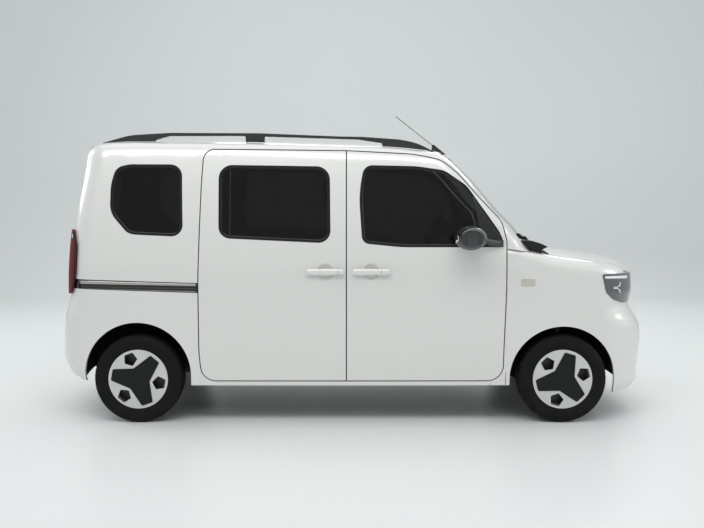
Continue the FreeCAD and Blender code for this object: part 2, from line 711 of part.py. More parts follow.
def build_quarter():
    """Rear quarter panel round the corner to the tailgate, and its pane."""
    turns = [math.radians(a) for a in spread(-58, -152, QUARTER_TURNS)]
    lifts = [math.radians(a) for a in spread(-48, 64, QUARTER_LIFTS)]
    rays = globe_rays(turns, lifts, QUARTER_CENTRE)
    slab = skin_slab(cabin, rays, 0.0, DOOR_THICKNESS)
    front_x = SLIDE_REAR_X + QUARTER_LAP
    quarter = slab.common(box((REAR_END_X - OVERRUN, -BODY_WIDTH, SILL_BOTTOM_Z),
                              (front_x, 0, BODY_HEIGHT + OVERRUN)))
    quarter = quarter.cut(through_right(grown(sliding_door_face(), HALF_GAP)))
    quarter = quarter.cut(box((REAR_END_X - OVERRUN, -ROOF_JOINT_Y, HOOP_CENTRE_Z),
                              (front_x, 0, BODY_HEIGHT + OVERRUN)))
    quarter = quarter.cut(tailgate_room())
    quarter = quarter.cut(through_right(tail_lamp_face()))
    quarter = quarter.cut(through_right(rear_bumper_face()))
    quarter = quarter.cut(arch_cut(REAR_AXLE_X, REAR_ARCH_RISE))
    quarter = quarter.cut(through_right(quarter_window))
    groove = track_slab(-TRACK_PROUD, TRACK_DEPTH).common(through_right(band_face(TRACK_SHARES)))
    save_sides("quarter_panel", largest(quarter.cut(groove)))
    pane_stations = spread(station(PANE_REAR_SHARE), station(PANE_FRONT_SHARE), SIDE_HOOPS)
    pane_rays = hoop_rays(pane_stations, side_angles, HOOP_CENTRE_Z)
    save("quarter_glass", pair(window_glass(cabin, pane_rays, quarter_window)))
    lamp = skin_slab(cabin, rays, -TAIL_LAMP_PROUD, LAMP_DEPTH)
    lamp = lamp.common(through_right(grown(tail_lamp_face(), -SEAT_GAP)))
    lamp = lamp.cut(tailgate_room())
    save("tail_lamps", pair(lamp))


def tailgate_room():
    """The space between the quarter panels that the tailgate fills."""
    side_y = TAILGATE_SIDE_Y + HALF_GAP
    return box((REAR_END_X - OVERRUN, -side_y, -OVERRUN),
               (TAILGATE_TOP_X + HALF_GAP, side_y, BODY_HEIGHT + OVERRUN))


BUMPER_LOW_Z = 232.0
STOP_LENGTH = 30.0
STOP_WIDTH = 60.0
FRONT_HUB_SHARE = 0.91
REAR_HUB_SHARE = 0.04
ROOF_REAR_X = TAILGATE_TOP_X + SHUT_GAP
TAILGATE_CENTRE_SHARES = (-0.08, 0.69)
TAILGATE_CENTRE = (station(TAILGATE_CENTRE_SHARES[0]), level(TAILGATE_CENTRE_SHARES[1]))
ROOF_FRONT_SHARE = 0.80
SCREEN_FIRST_SHARE = 0.70
SCREEN_LAST_SHARE = 0.963
REAR_WINDOW_SHARES = [(-0.70, 0.66), (-0.66, 0.885), (0.66, 0.885), (0.70, 0.66)]
REAR_WINDOW_CORNERS = [70.0, 80.0, 80.0, 70.0]


def roof_rays():
    angles = [math.radians(a) for a in spread(48, 132, 33)]
    return hoop_rays(spread(ROOF_REAR_X, station(ROOF_FRONT_SHARE), 30), angles, HOOP_CENTRE_Z)


def build_roof():
    """Roof skin between the side frames, from the windscreen to the tailgate."""
    roof = skin_slab(cabin, roof_rays(), 0.0, ROOF_THICKNESS)
    roof = roof.common(box((REAR_END_X, -ROOF_JOINT_Y, HOOP_CENTRE_Z),
                           (FRONT_END_X, ROOF_JOINT_Y, BODY_HEIGHT + OVERRUN)))
    roof = roof.cut(screen_prism(SEAT_GAP))
    roof = roof.common(box((REAR_END_X, -HALF_WIDTH, level(SCREEN_HIGH_SHARE)),
                           (FRONT_END_X, HALF_WIDTH, BODY_HEIGHT + OVERRUN)))
    save("roof_panel", roof)


def screen_skin(outer, inner, last_share=SCREEN_LAST_SHARE):
    """The layer of the cabin's front between two depths."""
    angles = [math.radians(a) for a in spread(8, 172, 49)]
    rays = hoop_rays(spread(station(SCREEN_FIRST_SHARE), station(last_share), 40), angles,
                     HOOP_CENTRE_Z)
    return skin_slab(cabin, rays, outer, inner)


def pane_room():
    """The room of the windscreen's pane, with its seat gap all round."""
    layer = screen_skin(GLASS_INSET - SEAT_GAP, GLASS_INSET + GLASS_THICKNESS + SEAT_GAP)
    return layer.common(screen_prism(SEAT_GAP))


def build_screen():
    """Windscreen pane between the pillars."""
    pane = screen_skin(GLASS_INSET, GLASS_INSET + GLASS_THICKNESS)
    save("windscreen", pane.common(screen_prism(0.0)))


def build_tailgate():
    """Tailgate with its window, shut against the quarter panels and roof."""
    offsets = spread(-TAILGATE_SIDE_Y + HALF_GAP, TAILGATE_SIDE_Y - HALF_GAP, 25)
    angles = [math.radians(a) for a in spread(108, 236, 56)]
    rays = profile_rays(offsets, angles, *TAILGATE_CENTRE)
    gate = skin_slab(cabin, rays, 0.0, TAILGATE_THICKNESS)
    gate = gate.common(box((REAR_END_X - OVERRUN, -HALF_WIDTH, TAILGATE_BOTTOM_Z + HALF_GAP),
                           (TAILGATE_TOP_X, HALF_WIDTH, BODY_HEIGHT + OVERRUN)))
    points = [(u * HALF_WIDTH, level(v)) for u, v in REAR_WINDOW_SHARES]
    window = rounded_face(points, REAR_WINDOW_CORNERS, front_place)
    far = FreeCAD.Vector(REAR_END_X - OVERRUN, 0, 0)
    depth = FreeCAD.Vector(REAR_OVERHANG, 0, 0)
    hole = window.copy()
    hole.translate(far)
    save("tailgate", gate.cut(hole.extrude(depth)))
    pane = skin_slab(cabin, rays, GLASS_INSET, GLASS_INSET + GLASS_THICKNESS)
    cutter = grown(window, -SEAT_GAP)
    cutter.translate(far)
    save("tailgate_glass", pane.common(cutter.extrude(depth)))


def build_rear_bumper():
    """Rear bumper from arch to arch, with the sill of the load bay."""
    angles = [math.radians(a) for a in spread(-104, -256, 56)]
    heights = spread(BUMPER_LOW_Z, level(REAR_SEAM_SHARES[0][1]), 30)
    rays = plan_rays(heights, angles, station(REAR_HUB_SHARE), 0.0)
    bumper = skin_slab(cabin, rays, 0.0, BUMPER_THICKNESS)
    face = grown(rear_bumper_face(), -PANEL_SEAM)
    face.translate(FreeCAD.Vector(0, HALF_WIDTH, 0))
    bumper = bumper.common(face.extrude(FreeCAD.Vector(0, -BODY_WIDTH, 0)))
    arch = arch_cut(REAR_AXLE_X, REAR_ARCH_RISE)
    bumper = bumper.cut(arch).cut(mirrored(arch))
    side_y = TAILGATE_SIDE_Y + HALF_GAP
    bumper = bumper.cut(box((REAR_END_X - OVERRUN, -side_y, TAILGATE_BOTTOM_Z - HALF_GAP),
                            (REAR_AXLE_X, side_y, BODY_HEIGHT)))
    gate_x = skin_point(cabin, TAILGATE_THICKNESS / 2, (0.0, 0.0, TAILGATE_BOTTOM_Z), (-1.0, 0.0, 0.0)).x
    striker = box((gate_x - STOP_LENGTH / 2, -STOP_WIDTH / 2, TAILGATE_BOTTOM_Z - BUMPER_THICKNESS),
                  (gate_x + STOP_LENGTH / 2, STOP_WIDTH / 2, TAILGATE_BOTTOM_Z + HALF_GAP - SEAT_GAP))
    save("rear_bumper", bumper.fuse(striker))


NOSE_TOP_SHARE = 0.5265
NOSE_TOP_Z = level(NOSE_TOP_SHARE)
NOSE_LOW_SHARE = 0.1015
NOSE_CENTRE_SHARES = (0.99, 0.33)
NOSE_CENTRE = (station(NOSE_CENTRE_SHARES[0]), level(NOSE_CENTRE_SHARES[1]))
FENDER_FRONT_SHARE = 1.70
FENDER_CENTRE_SHARE = 0.38
BONNET_REAR_SHARE = 0.988
BONNET_REAR_CORNER_SHARE = 0.966
HEADLAMP_SHARES = [(1.3885, 0.5215), (1.436, 0.4566), (1.522, 0.430), (1.634, 0.417),
                   (2.12, 0.417), (2.12, 0.5215)]
HEADLAMP_CORNERS = [10.0, 40.0, 60.0, 40.0, 1.0, 1.0]
HEADLAMP_INNER_SHARE = 0.60
FENDER_SEAM_SHARES = [(1.385, 0.5235), (1.436, 0.4566), (1.446, 0.412), (1.27, 0.318)]


def headlamp_face():
    points = [(station(u), level(v)) for u, v in HEADLAMP_SHARES]
    return rounded_face(points, HEADLAMP_CORNERS, side_place)


def front_cut_face():
    """Side-view outline of all that lies ahead of the fender's seam."""
    seam = [(station(u), level(v)) for u, v in FENDER_SEAM_SHARES]
    ahead_x = FRONT_END_X + OVERRUN
    points = [(ahead_x, seam[0][1])] + seam + [(seam[-1][0], 0.0), (ahead_x, 0.0)]
    return flat_face(points, side_place)


REPEATER_SHARES = [(0.899, 0.4824), (0.9318, 0.4824), (0.9318, 0.5057), (0.899, 0.5057)]
REPEATER_CORNER = 8.0
REPEATER_PROUD = 3.0
REPEATER_DEPTH = 12.0


def build_fender():
    """Front fender from the door to the lamp, up to the bonnet's edge."""
    stations = spread(DOOR_FRONT_X - SHUT_GAP, station(FENDER_FRONT_SHARE), 34)
    rays = hoop_rays(stations, [math.radians(a) for a in spread(-40, 42, 36)],
                     level(FENDER_CENTRE_SHARE))
    fender = skin_slab(nose, rays, 0.0, FENDER_THICKNESS)
    fender = fender.cut(through_right(grown(front_door_face(), HALF_GAP)))
    fender = fender.cut(box((0, -BONNET_SIDE_Y - HALF_GAP, 0), (FRONT_END_X, 0, BODY_HEIGHT)))
    foot = [(station(u), level(v) - PANEL_SEAM) for u, v in FOOT_LINE_SHARES]
    fender = fender.cut(box((0, -BODY_WIDTH, -OVERRUN), (foot[0][0] + PANEL_SEAM, 0, BODY_HEIGHT)))
    above = flat_face(foot + [(foot[-1][0], BODY_HEIGHT), (foot[0][0], BODY_HEIGHT)], side_place)
    pillar = skin_slab(cabin, side_rays, -CAP_GAP, DOOR_THICKNESS + SHUT_GAP)
    fender = fender.cut(pillar.common(through_right(above))).cut(pane_room())
    fender = fender.cut(arch_cut(FRONT_AXLE_X, 0.0))
    fender = fender.cut(through_right(front_cut_face()))
    fender = fender.cut(box((0, -BODY_WIDTH, -OVERRUN), (FRONT_END_X, 0, SILL_BOTTOM_Z)))
    points = [(station(u), level(v)) for u, v in REPEATER_SHARES]
    lens = rounded_face(points, [REPEATER_CORNER] * len(points), side_place)
    save_sides("fender", fender.cut(through_right(lens)))
    lamp = skin_slab(nose, rays, -REPEATER_PROUD, REPEATER_DEPTH)
    save("side_repeaters", pair(lamp.common(through_right(grown(lens, -SEAT_GAP)))))


def build_bonnet():
    """Bonnet down to the nose, its rear edge bowed like the windscreen."""
    edge = BONNET_SIDE_Y - HALF_GAP
    rays = profile_rays(spread(-edge, edge, 25), [math.radians(a) for a in spread(118, 26, 44)],
                        *NOSE_CENTRE)
    bonnet = skin_slab(nose, rays, 0.0, BONNET_THICKNESS)
    rear_x = station(BONNET_REAR_SHARE)
    corner_x = station(BONNET_REAR_CORNER_SHARE)
    arc = Part.Arc(top_place(corner_x, -HALF_WIDTH), top_place(rear_x, 0),
                   top_place(corner_x, HALF_WIDTH)).toShape()
    ahead = FRONT_END_X + OVERRUN
    rest = Part.makePolygon([top_place(corner_x, HALF_WIDTH), top_place(ahead, HALF_WIDTH),
                             top_place(ahead, -HALF_WIDTH), top_place(corner_x, -HALF_WIDTH)])
    outline = Part.Face(Part.Wire([arc] + rest.Edges))
    outline.translate(FreeCAD.Vector(0, 0, NOSE_TOP_Z + HALF_GAP))
    bonnet = bonnet.common(outline.extrude(FreeCAD.Vector(0, 0, BODY_HEIGHT)))
    save("bonnet", bonnet)


def build_front_bumper():
    """Front bumper and closed nose panel from arch to arch, and the lamps."""
    angles = [math.radians(a) for a in spread(-74, 74, 60)]
    heights = spread(level(NOSE_LOW_SHARE), NOSE_TOP_Z, 36)
    rays = plan_rays(heights, angles, station(FRONT_HUB_SHARE), 0.0)
    bumper = skin_slab(nose, rays, 0.0, BUMPER_THICKNESS)
    face = grown(front_cut_face(), -PANEL_SEAM)
    face.translate(FreeCAD.Vector(0, HALF_WIDTH, 0))
    bumper = bumper.common(face.extrude(FreeCAD.Vector(0, -BODY_WIDTH, 0)))
    arch = arch_cut(FRONT_AXLE_X, 0.0)
    bumper = bumper.cut(arch).cut(mirrored(arch))
    inner_y = HEADLAMP_INNER_SHARE * HALF_WIDTH
    room = through_right(headlamp_face()).cut(
        box((0, -inner_y, 0), (FRONT_END_X + OVERRUN, 0, BODY_HEIGHT)))
    bumper = bumper.cut(room).cut(mirrored(room))
    stop_x = skin_point(nose, BONNET_THICKNESS / 2, (0.0, 0.0, NOSE_TOP_Z), (1.0, 0.0, 0.0)).x
    stop = box((stop_x - STOP_LENGTH / 2, -STOP_WIDTH / 2, NOSE_TOP_Z - BUMPER_THICKNESS),
               (stop_x + STOP_LENGTH / 4, STOP_WIDTH / 2, NOSE_TOP_Z + HALF_GAP - SEAT_GAP))
    save("front_bumper", bumper.fuse(stop))
    lamp = skin_slab(nose, rays, -LAMP_PROUD, LAMP_DEPTH)
    face = grown(headlamp_face(), -SEAT_GAP)
    lamp = lamp.common(through_right(face))
    lamp = lamp.cut(box((0, -inner_y - SEAT_GAP, 0), (FRONT_END_X + OVERRUN, 0, BODY_HEIGHT)))
    save("headlamps", pair(lamp))


TYRE_CROWN_SHARE = 0.80
COVER_DOME_SHARE = 0.75
COVER_HOLE_PLACE_SHARE = 0.725
COVER_HOLE_SHARE = 0.24
COVER_HOLE_SIDES = 5
COVER_HOLE_CORNER = 7.0
BLADE_TIP_SHARE = 0.915
BLADE_CROTCH_SHARE = 0.40
BLADE_TIP_ANGLE = 12.0
BLADE_CORNER = 9.0
FRONT_BLADE_TURN = 74.0
REAR_BLADE_TURN = 50.0
HUB_OUTER = 40.0
HUB_INNER = 30.0


def turned(profile):
    """Solid of revolution about the wheel's axis from (radius, y) points."""
    face = flat_face(profile, front_turn)
    return face.revolve(FreeCAD.Vector(0, 0, 0), FreeCAD.Vector(0, 1, 0), 360)


def front_turn(radius, y):
    """A wheel profile point: its radius runs up and y along the axle."""
    return FreeCAD.Vector(0, y, radius)


def make_tyre():
    """Tyre with leaning walls and broad shoulders, centred on the origin."""
    half = TYRE_WIDTH / 2
    seat = RIM_WIDTH / 2
    flange = BEAD_RADIUS + RIM_FLANGE
    shoulder = TYRE_RADIUS - TYRE_SHOULDER
    crown = TYRE_CROWN_SHARE * half
    side = [(BEAD_RADIUS, seat), (flange, seat), (shoulder, half), (TYRE_RADIUS, crown)]
    return turned(side + [(radius, -y) for radius, y in side[::-1]])


def make_wheel():
    """Steel wheel: barrel with flanges, disc and a bored hub."""
    seat = RIM_WIDTH / 2
    inner = BEAD_RADIUS - SEAT_GAP - RIM_WALL
    outer = BEAD_RADIUS - SEAT_GAP
    lip = BEAD_RADIUS + RIM_FLANGE - SEAT_GAP
    edge = seat + SEAT_GAP
    end = edge + RIM_WALL / 2
    barrel = turned([(inner, -end), (lip, -end), (lip, -edge), (outer, -edge), (outer, edge),
                     (lip, edge), (lip, end), (inner, end)])
    bore = AXLE_PIN_RADIUS + PIN_CLEARANCE
    disc = turned([(bore, -HUB_OUTER), (HUB_RADIUS, -HUB_OUTER), (HUB_RADIUS, -DISC_THICKNESS),
                   (inner + RIM_WALL / 2, -DISC_THICKNESS), (inner + RIM_WALL / 2, 0.0),
                   (HUB_RADIUS, 0.0), (HUB_RADIUS, HUB_INNER), (bore, HUB_INNER)])
    return barrel.fuse(disc)


def cover_shell(low, high):
    """Domed disc between two heights above the cover's back face."""
    back = RIM_WIDTH / 2 + SEAT_GAP + RIM_WALL / 2 + SEAT_GAP
    edge = -back
    rise = COVER_DOME_SHARE * COVER_DOME
    low_arc = Part.Arc(front_turn(COVER_RADIUS, edge - low),
                       front_turn(COVER_RADIUS / 2, edge - low - rise),
                       front_turn(-COVER_RADIUS, edge - low)).toShape()
    high_arc = Part.Arc(front_turn(COVER_RADIUS, edge - high),
                        front_turn(COVER_RADIUS / 2, edge - high - rise),
                        front_turn(-COVER_RADIUS, edge - high)).toShape()
    half = flat_face([(0, -TRACK), (0, TRACK), (COVER_RADIUS, TRACK), (COVER_RADIUS, -TRACK)],
                     front_turn)
    rim_line = Part.makeLine(front_turn(COVER_RADIUS, edge - low),
                             front_turn(COVER_RADIUS, edge - high))
    far_line = Part.makeLine(front_turn(-COVER_RADIUS, edge - low),
                             front_turn(-COVER_RADIUS, edge - high))
    face = Part.Face(Part.Wire(Part.__sortEdges__([low_arc, rim_line, high_arc, far_line])))
    face = face.common(half)
    return face.revolve(FreeCAD.Vector(0, 0, 0), FreeCAD.Vector(0, 1, 0), 360)


def make_cover(turn):
    """Wheel cover: three raised blades and three five-sided windows."""
    cover = cover_shell(0.0, COVER_THICKNESS)
    star = []
    step = 360.0 / BLADE_COUNT
    for k in range(BLADE_COUNT):
        blade = turn + k * step
        for angle, share in ((blade - BLADE_TIP_ANGLE, BLADE_TIP_SHARE),
                             (blade + BLADE_TIP_ANGLE, BLADE_TIP_SHARE),
                             (blade + step / 2, BLADE_CROTCH_SHARE)):
            reach = share * COVER_RADIUS
            star.append((reach * math.cos(math.radians(angle)),
                         reach * math.sin(math.radians(angle))))
    deep = FreeCAD.Vector(0, -TRACK, 0)
    face = rounded_face(star, [BLADE_CORNER] * len(star), side_place)
    blades = cover_shell(COVER_THICKNESS / 2, COVER_THICKNESS + BLADE_HEIGHT)
    cover = cover.fuse(blades.common(face.extrude(deep)))
    for k in range(BLADE_COUNT):
        radial = math.radians(turn + (k + 0.5) * step)
        place = COVER_HOLE_PLACE_SHARE * COVER_RADIUS
        size = COVER_HOLE_SHARE * COVER_RADIUS
        points = []
        for n in range(COVER_HOLE_SIDES):
            angle = radial + math.pi + n * 2 * math.pi / COVER_HOLE_SIDES
            points.append((place * math.cos(radial) + size * math.cos(angle),
                           place * math.sin(radial) + size * math.sin(angle)))
        hole = rounded_face(points, [COVER_HOLE_CORNER] * COVER_HOLE_SIDES, side_place)
        cover = cover.cut(hole.extrude(deep))
    return cover


def build_wheels():
    """Four wheels, each a tyre, a steel wheel and its cover."""
    tyre = make_tyre()
    wheel = make_wheel()
    for end, axle_x, turn in (("front", FRONT_AXLE_X, FRONT_BLADE_TURN),
                              ("rear", REAR_AXLE_X, REAR_BLADE_TURN)):
        place = FreeCAD.Vector(axle_x, -WHEEL_Y, AXLE_Z)
        for name, shape in (("tyre", tyre), ("wheel", wheel), ("wheel_cover", make_cover(turn))):
            piece = shape.copy()
            piece.translate(place)
            save_sides(end + "_" + name, piece)


# Chassis
RAIL_OUTER_Y = 419.0
RAIL_WIDTH = 50.0
RAIL_HEIGHT = 60.0
LINER_INNER_Y = 425.0
LINER_POINTS = 19
LINER_EDGE_GAP = 0.7
BEAM_PASS_GAP = 6.0
LOAD_FLOOR_Z = 560.0
WALL_X_SHARE = 0.857
DASH_SHELF_SHARE = 0.93
KICK_SHARE = 0.13
FLOOR_REAR_SHARE = -0.82
TUNNEL_STEP = 60.0
BATTERY_HEIGHT = 150.0
BATTERY_HALF_WIDTH = 350.0
BATTERY_START_SHARE = 0.20
BATTERY_STOP_SHARE = 0.80
KINGPIN_Y = WHEEL_Y - KINGPIN_INSET
BEAM_RADIUS = 32.0
KNUCKLE_HALF = 26.0
KNUCKLE_LOW_Z = 166.0
KNUCKLE_HIGH_Z = 310.0
STRUT_TOP_Z = 640.0
TOWER_THICKNESS = 24.0
ARM_THICKNESS = 24.0
CARRIER_RADIUS = 50.0
SPRING_RADIUS = 48.0
SPRING_WALL = 14.0
STRUT_HOLE_RADIUS = 42.0
BEAM_DEPTH = 46.0
BEAM_GAP = 4.0
MOTOR_HALF_WIDTH = 150.0
MOTOR_HEIGHT = 220.0
MOTOR_LENGTH = 240.0
TOE_TOP_SHARE = 0.415
SHELF_TOP_SHARE = 0.62
RAIL_REAR_SHARE = -0.87
RAIL_FRONT_SHARE = 1.79


def floor_points(drop):
    """Side-view line of the floor, toe board and shelf, lowered by the drop."""
    wall_x = station(WALL_X_SHARE)
    top = level(TOE_TOP_SHARE)
    return [(station(FLOOR_REAR_SHARE), LOAD_FLOOR_Z - drop),
            (station(KICK_SHARE) - drop, LOAD_FLOOR_Z - drop),
            (station(KICK_SHARE) + TUNNEL_STEP / 2 - drop, FLOOR_TOP_Z - drop),
            (wall_x - TUNNEL_STEP + drop, FLOOR_TOP_Z - drop),
            (wall_x + drop, FLOOR_TOP_Z + TUNNEL_STEP - drop),
            (wall_x + drop, top - drop),
            (station(DASH_SHELF_SHARE) + drop, top + TUNNEL_STEP / 2 - drop),
            (station(DASH_SHELF_SHARE) + drop, level(SHELF_TOP_SHARE))]


def build_floor():
    """Floor with its toe board, kick-up, two rails and side risers."""
    upper = floor_points(0.0)
    lower = floor_points(FLOOR_THICKNESS)
    sheet = flat_face(upper + lower[::-1], side_place)
    sheet.translate(FreeCAD.Vector(0, -SILL_INNER_Y, 0))
    floor = sheet.extrude(FreeCAD.Vector(0, 2 * SILL_INNER_Y, 0))
    under = FLOOR_TOP_Z - FLOOR_THICKNESS
    rear_x = SLIDE_REAR_X + QUARTER_LAP
    front_x = station(WALL_X_SHARE) - TUNNEL_STEP
    kick_x = station(KICK_SHARE)
    load_under = LOAD_FLOOR_Z - FLOOR_THICKNESS
    for side in (-1, 1):
        riser = box((rear_x, SILL_INNER_Y - RAIL_WIDTH, SILL_BOTTOM_Z),
                    (front_x, SILL_INNER_Y, under))
        rail = box((kick_x + TUNNEL_STEP, RAIL_OUTER_Y - RAIL_WIDTH, under - RAIL_HEIGHT),
                   (station(RAIL_FRONT_SHARE), RAIL_OUTER_Y, under))
        rear = box((station(RAIL_REAR_SHARE), RAIL_OUTER_Y - RAIL_WIDTH, load_under - RAIL_HEIGHT),
                   (kick_x, RAIL_OUTER_Y, load_under))
        for piece in (riser, rail, rear):
            floor = floor.fuse(piece if side > 0 else mirrored(piece))
    for axle_x, rise in ((FRONT_AXLE_X, 0.0), (REAR_AXLE_X, REAR_ARCH_RISE)):
        well = rod(ARCH_RADIUS + LINER_GAP + LINER_WALL + SEAT_GAP,
                   (axle_x, -BODY_WIDTH, AXLE_Z + rise), (axle_x, -RAIL_OUTER_Y, AXLE_Z + rise))
        floor = floor.cut(well).cut(mirrored(well))
    rays = profile_rays(spread(-BONNET_SIDE_Y, BONNET_SIDE_Y, 9),
                        [math.radians(a) for a in spread(140, 90, 12)], *NOSE_CENTRE)
    under_cowl = COWL_DEPTH + COWL_THICKNESS + SEAT_GAP
    floor = floor.cut(skin_slab(nose, rays, -2 * OVERRUN, under_cowl))
    save("floor_pan", floor.fuse(bumper_beams()))
    start_x = station(BATTERY_START_SHARE)
    stop_x = station(BATTERY_STOP_SHARE)
    save("battery_pack", box((start_x, -BATTERY_HALF_WIDTH, under - BATTERY_HEIGHT),
                             (stop_x, BATTERY_HALF_WIDTH, under)))


def bumper_beams():
    """Curved beams behind the bumpers, on the ends of the rails."""
    front_top = FLOOR_TOP_Z - FLOOR_THICKNESS
    rear_top = LOAD_FLOOR_Z - FLOOR_THICKNESS
    beams = []
    for shape, top, first, last, hub_x in ((nose, front_top, -48, 48, station(FRONT_HUB_SHARE)),
                                           (cabin, rear_top, 132, 228, station(REAR_HUB_SHARE))):
        rays = plan_rays(spread(top - RAIL_HEIGHT, top, 4),
                         [math.radians(a) for a in spread(first, last, 15)], hub_x, 0.0)
        beam = skin_slab(shape, rays, BUMPER_THICKNESS + BEAM_GAP, BUMPER_THICKNESS + BEAM_DEPTH)
        side = RAIL_OUTER_Y + RAIL_WIDTH
        beams.append(beam.common(box((REAR_END_X, -side, 0), (FRONT_END_X, side, BODY_HEIGHT))))
    return beams


def build_liners():
    """Arch liners: half drums with an inner wall, open to the wheel."""
    liners = []
    radius = ARCH_RADIUS + LINER_GAP
    for axle_x, rise, shape, panel in ((FRONT_AXLE_X, 0.0, nose, BUMPER_THICKNESS),
                                       (REAR_AXLE_X, REAR_ARCH_RISE, cabin, DOOR_THICKNESS)):
        z = AXLE_Z + rise
        rim = [(axle_x + (radius + LINER_WALL) * math.cos(a), z + (radius + LINER_WALL) * math.sin(a))
               for a in spread(0.0, math.pi, LINER_POINTS)]
        edge_y = max(skin_point(shape, panel + LINER_EDGE_GAP, (x, 0.0, up), (0.0, -1.0, 0.0)).y
                     for x, up in rim)
        drum = rod(radius + LINER_WALL, (axle_x, edge_y, z), (axle_x, LINER_WALL - LINER_INNER_Y, z))
        drum = drum.cut(rod(radius, (axle_x, -BODY_WIDTH, z), (axle_x, -LINER_INNER_Y, z)))
        drum = drum.cut(box((axle_x - LENGTH, -BODY_WIDTH, -BODY_HEIGHT), (axle_x + LENGTH, 0, z)))
        if shape is nose:
            drum = drum.cut(rod(STRUT_HOLE_RADIUS, (axle_x, -KINGPIN_Y, z),
                                (axle_x, -KINGPIN_Y, BODY_HEIGHT)))
        else:
            drum = drum.cut(rod(BEAM_RADIUS + BEAM_PASS_GAP, (axle_x, -BODY_WIDTH, AXLE_Z),
                                (axle_x, 0, AXLE_Z)))
        liners += [drum, mirrored(drum)]
    save("arch_liners", Part.Compound(liners))


def build_front_end():
    """Front suspension carrier, and the knuckles that steer on it."""
    under = FLOOR_TOP_Z - FLOOR_THICKNESS - RAIL_HEIGHT
    inner_y = RAIL_OUTER_Y - RAIL_WIDTH
    x0 = FRONT_AXLE_X - 2 * KNUCKLE_HALF
    x1 = FRONT_AXLE_X + 2 * KNUCKLE_HALF
    arm_top = KNUCKLE_LOW_Z - SEAT_GAP
    cross = box((x0, -RAIL_OUTER_Y, arm_top - ARM_THICKNESS), (x1, RAIL_OUTER_Y, arm_top))
    for side in (-1, 1):
        post = box((x0, inner_y, arm_top), (x1, RAIL_OUTER_Y, under))
        arm = box((FRONT_AXLE_X - KNUCKLE_HALF, inner_y, arm_top - ARM_THICKNESS),
                  (FRONT_AXLE_X + KNUCKLE_HALF, KINGPIN_Y + KNUCKLE_HALF, arm_top))
        wall = box((x0, inner_y, FLOOR_TOP_Z - FLOOR_THICKNESS),
                   (x1, RAIL_OUTER_Y, STRUT_TOP_Z + TOWER_THICKNESS))
        tower = box((x0, inner_y, STRUT_TOP_Z + SEAT_GAP),
                    (x1, KINGPIN_Y + 2 * KNUCKLE_HALF, STRUT_TOP_Z + TOWER_THICKNESS))
        for piece in (post, arm, wall, tower):
            cross = cross.fuse(piece if side > 0 else mirrored(piece))
    save("front_suspension", cross)
    strut = rod(STEER_PIN_RADIUS, (FRONT_AXLE_X, -KINGPIN_Y, KNUCKLE_HIGH_Z - KNUCKLE_HALF),
                (FRONT_AXLE_X, -KINGPIN_Y, STRUT_TOP_Z))
    block = box((FRONT_AXLE_X - KNUCKLE_HALF, -KINGPIN_Y - KNUCKLE_HALF, KNUCKLE_LOW_Z),
                (FRONT_AXLE_X + KNUCKLE_HALF, -KINGPIN_Y + KNUCKLE_HALF, KNUCKLE_HIGH_Z))
    hub_face = WHEEL_Y - HUB_INNER - SEAT_GAP
    carrier = rod(CARRIER_RADIUS, (FRONT_AXLE_X, -KINGPIN_Y, AXLE_Z),
                  (FRONT_AXLE_X, -hub_face, AXLE_Z))
    pin = rod(AXLE_PIN_RADIUS, (FRONT_AXLE_X, -KINGPIN_Y, AXLE_Z),
              (FRONT_AXLE_X, -WHEEL_Y - HUB_OUTER + SEAT_GAP, AXLE_Z))
    save_sides("knuckle", strut.fuse([block, carrier, pin]))


def build_rear_end():
    """Rear beam axle on trailing arms and coil springs, and the motor."""
    hub_face = WHEEL_Y - HUB_INNER - SEAT_GAP
    pin_end = WHEEL_Y + HUB_OUTER - SEAT_GAP
    beam = rod(BEAM_RADIUS, (REAR_AXLE_X, -hub_face, AXLE_Z), (REAR_AXLE_X, hub_face, AXLE_Z))
    beam = beam.fuse(rod(AXLE_PIN_RADIUS, (REAR_AXLE_X, -pin_end, AXLE_Z),
                         (REAR_AXLE_X, pin_end, AXLE_Z)))
    inner_y = RAIL_OUTER_Y - RAIL_WIDTH
    rail_under = FLOOR_TOP_Z - FLOOR_THICKNESS - RAIL_HEIGHT
    arm_x = station(KICK_SHARE) + TUNNEL_STEP
    for side in (-1, 1):
        arm = box((REAR_AXLE_X, inner_y, AXLE_Z - KNUCKLE_HALF / 2),
                  (arm_x + 2 * TUNNEL_STEP, RAIL_OUTER_Y, AXLE_Z + KNUCKLE_HALF / 2))
        mount = box((arm_x + TUNNEL_STEP, inner_y, AXLE_Z),
                    (arm_x + 2 * TUNNEL_STEP, RAIL_OUTER_Y, rail_under))
        for piece in (arm, mount):
            beam = beam.fuse(piece if side > 0 else mirrored(piece))
    seat_z = AXLE_Z + KNUCKLE_HALF / 2
    spring_x = REAR_AXLE_X + 2 * SPRING_RADIUS
    spring_y = RAIL_OUTER_Y - SPRING_RADIUS - SEAT_GAP
    for side in (-1, 1):
        beam = beam.fuse(rod(SPRING_RADIUS, (spring_x, side * spring_y, AXLE_Z),
                             (spring_x, side * spring_y, seat_z)))
    save("rear_axle", beam)
    top_z = LOAD_FLOOR_Z - FLOOR_THICKNESS - RAIL_HEIGHT
    spring = rod(SPRING_RADIUS, (spring_x, -spring_y, seat_z), (spring_x, -spring_y, top_z))
    core = rod(SPRING_RADIUS - SPRING_WALL, (spring_x, -spring_y, 0),
               (spring_x, -spring_y, BODY_HEIGHT))
    save("rear_springs", pair(spring.cut(core)))
    motor_x = REAR_AXLE_X + BEAM_RADIUS + SEAT_GAP
    save("drive_unit", box((motor_x, -MOTOR_HALF_WIDTH, AXLE_Z - MOTOR_HEIGHT / 2),
                           (motor_x + MOTOR_LENGTH, MOTOR_HALF_WIDTH, AXLE_Z + MOTOR_HEIGHT / 2)))


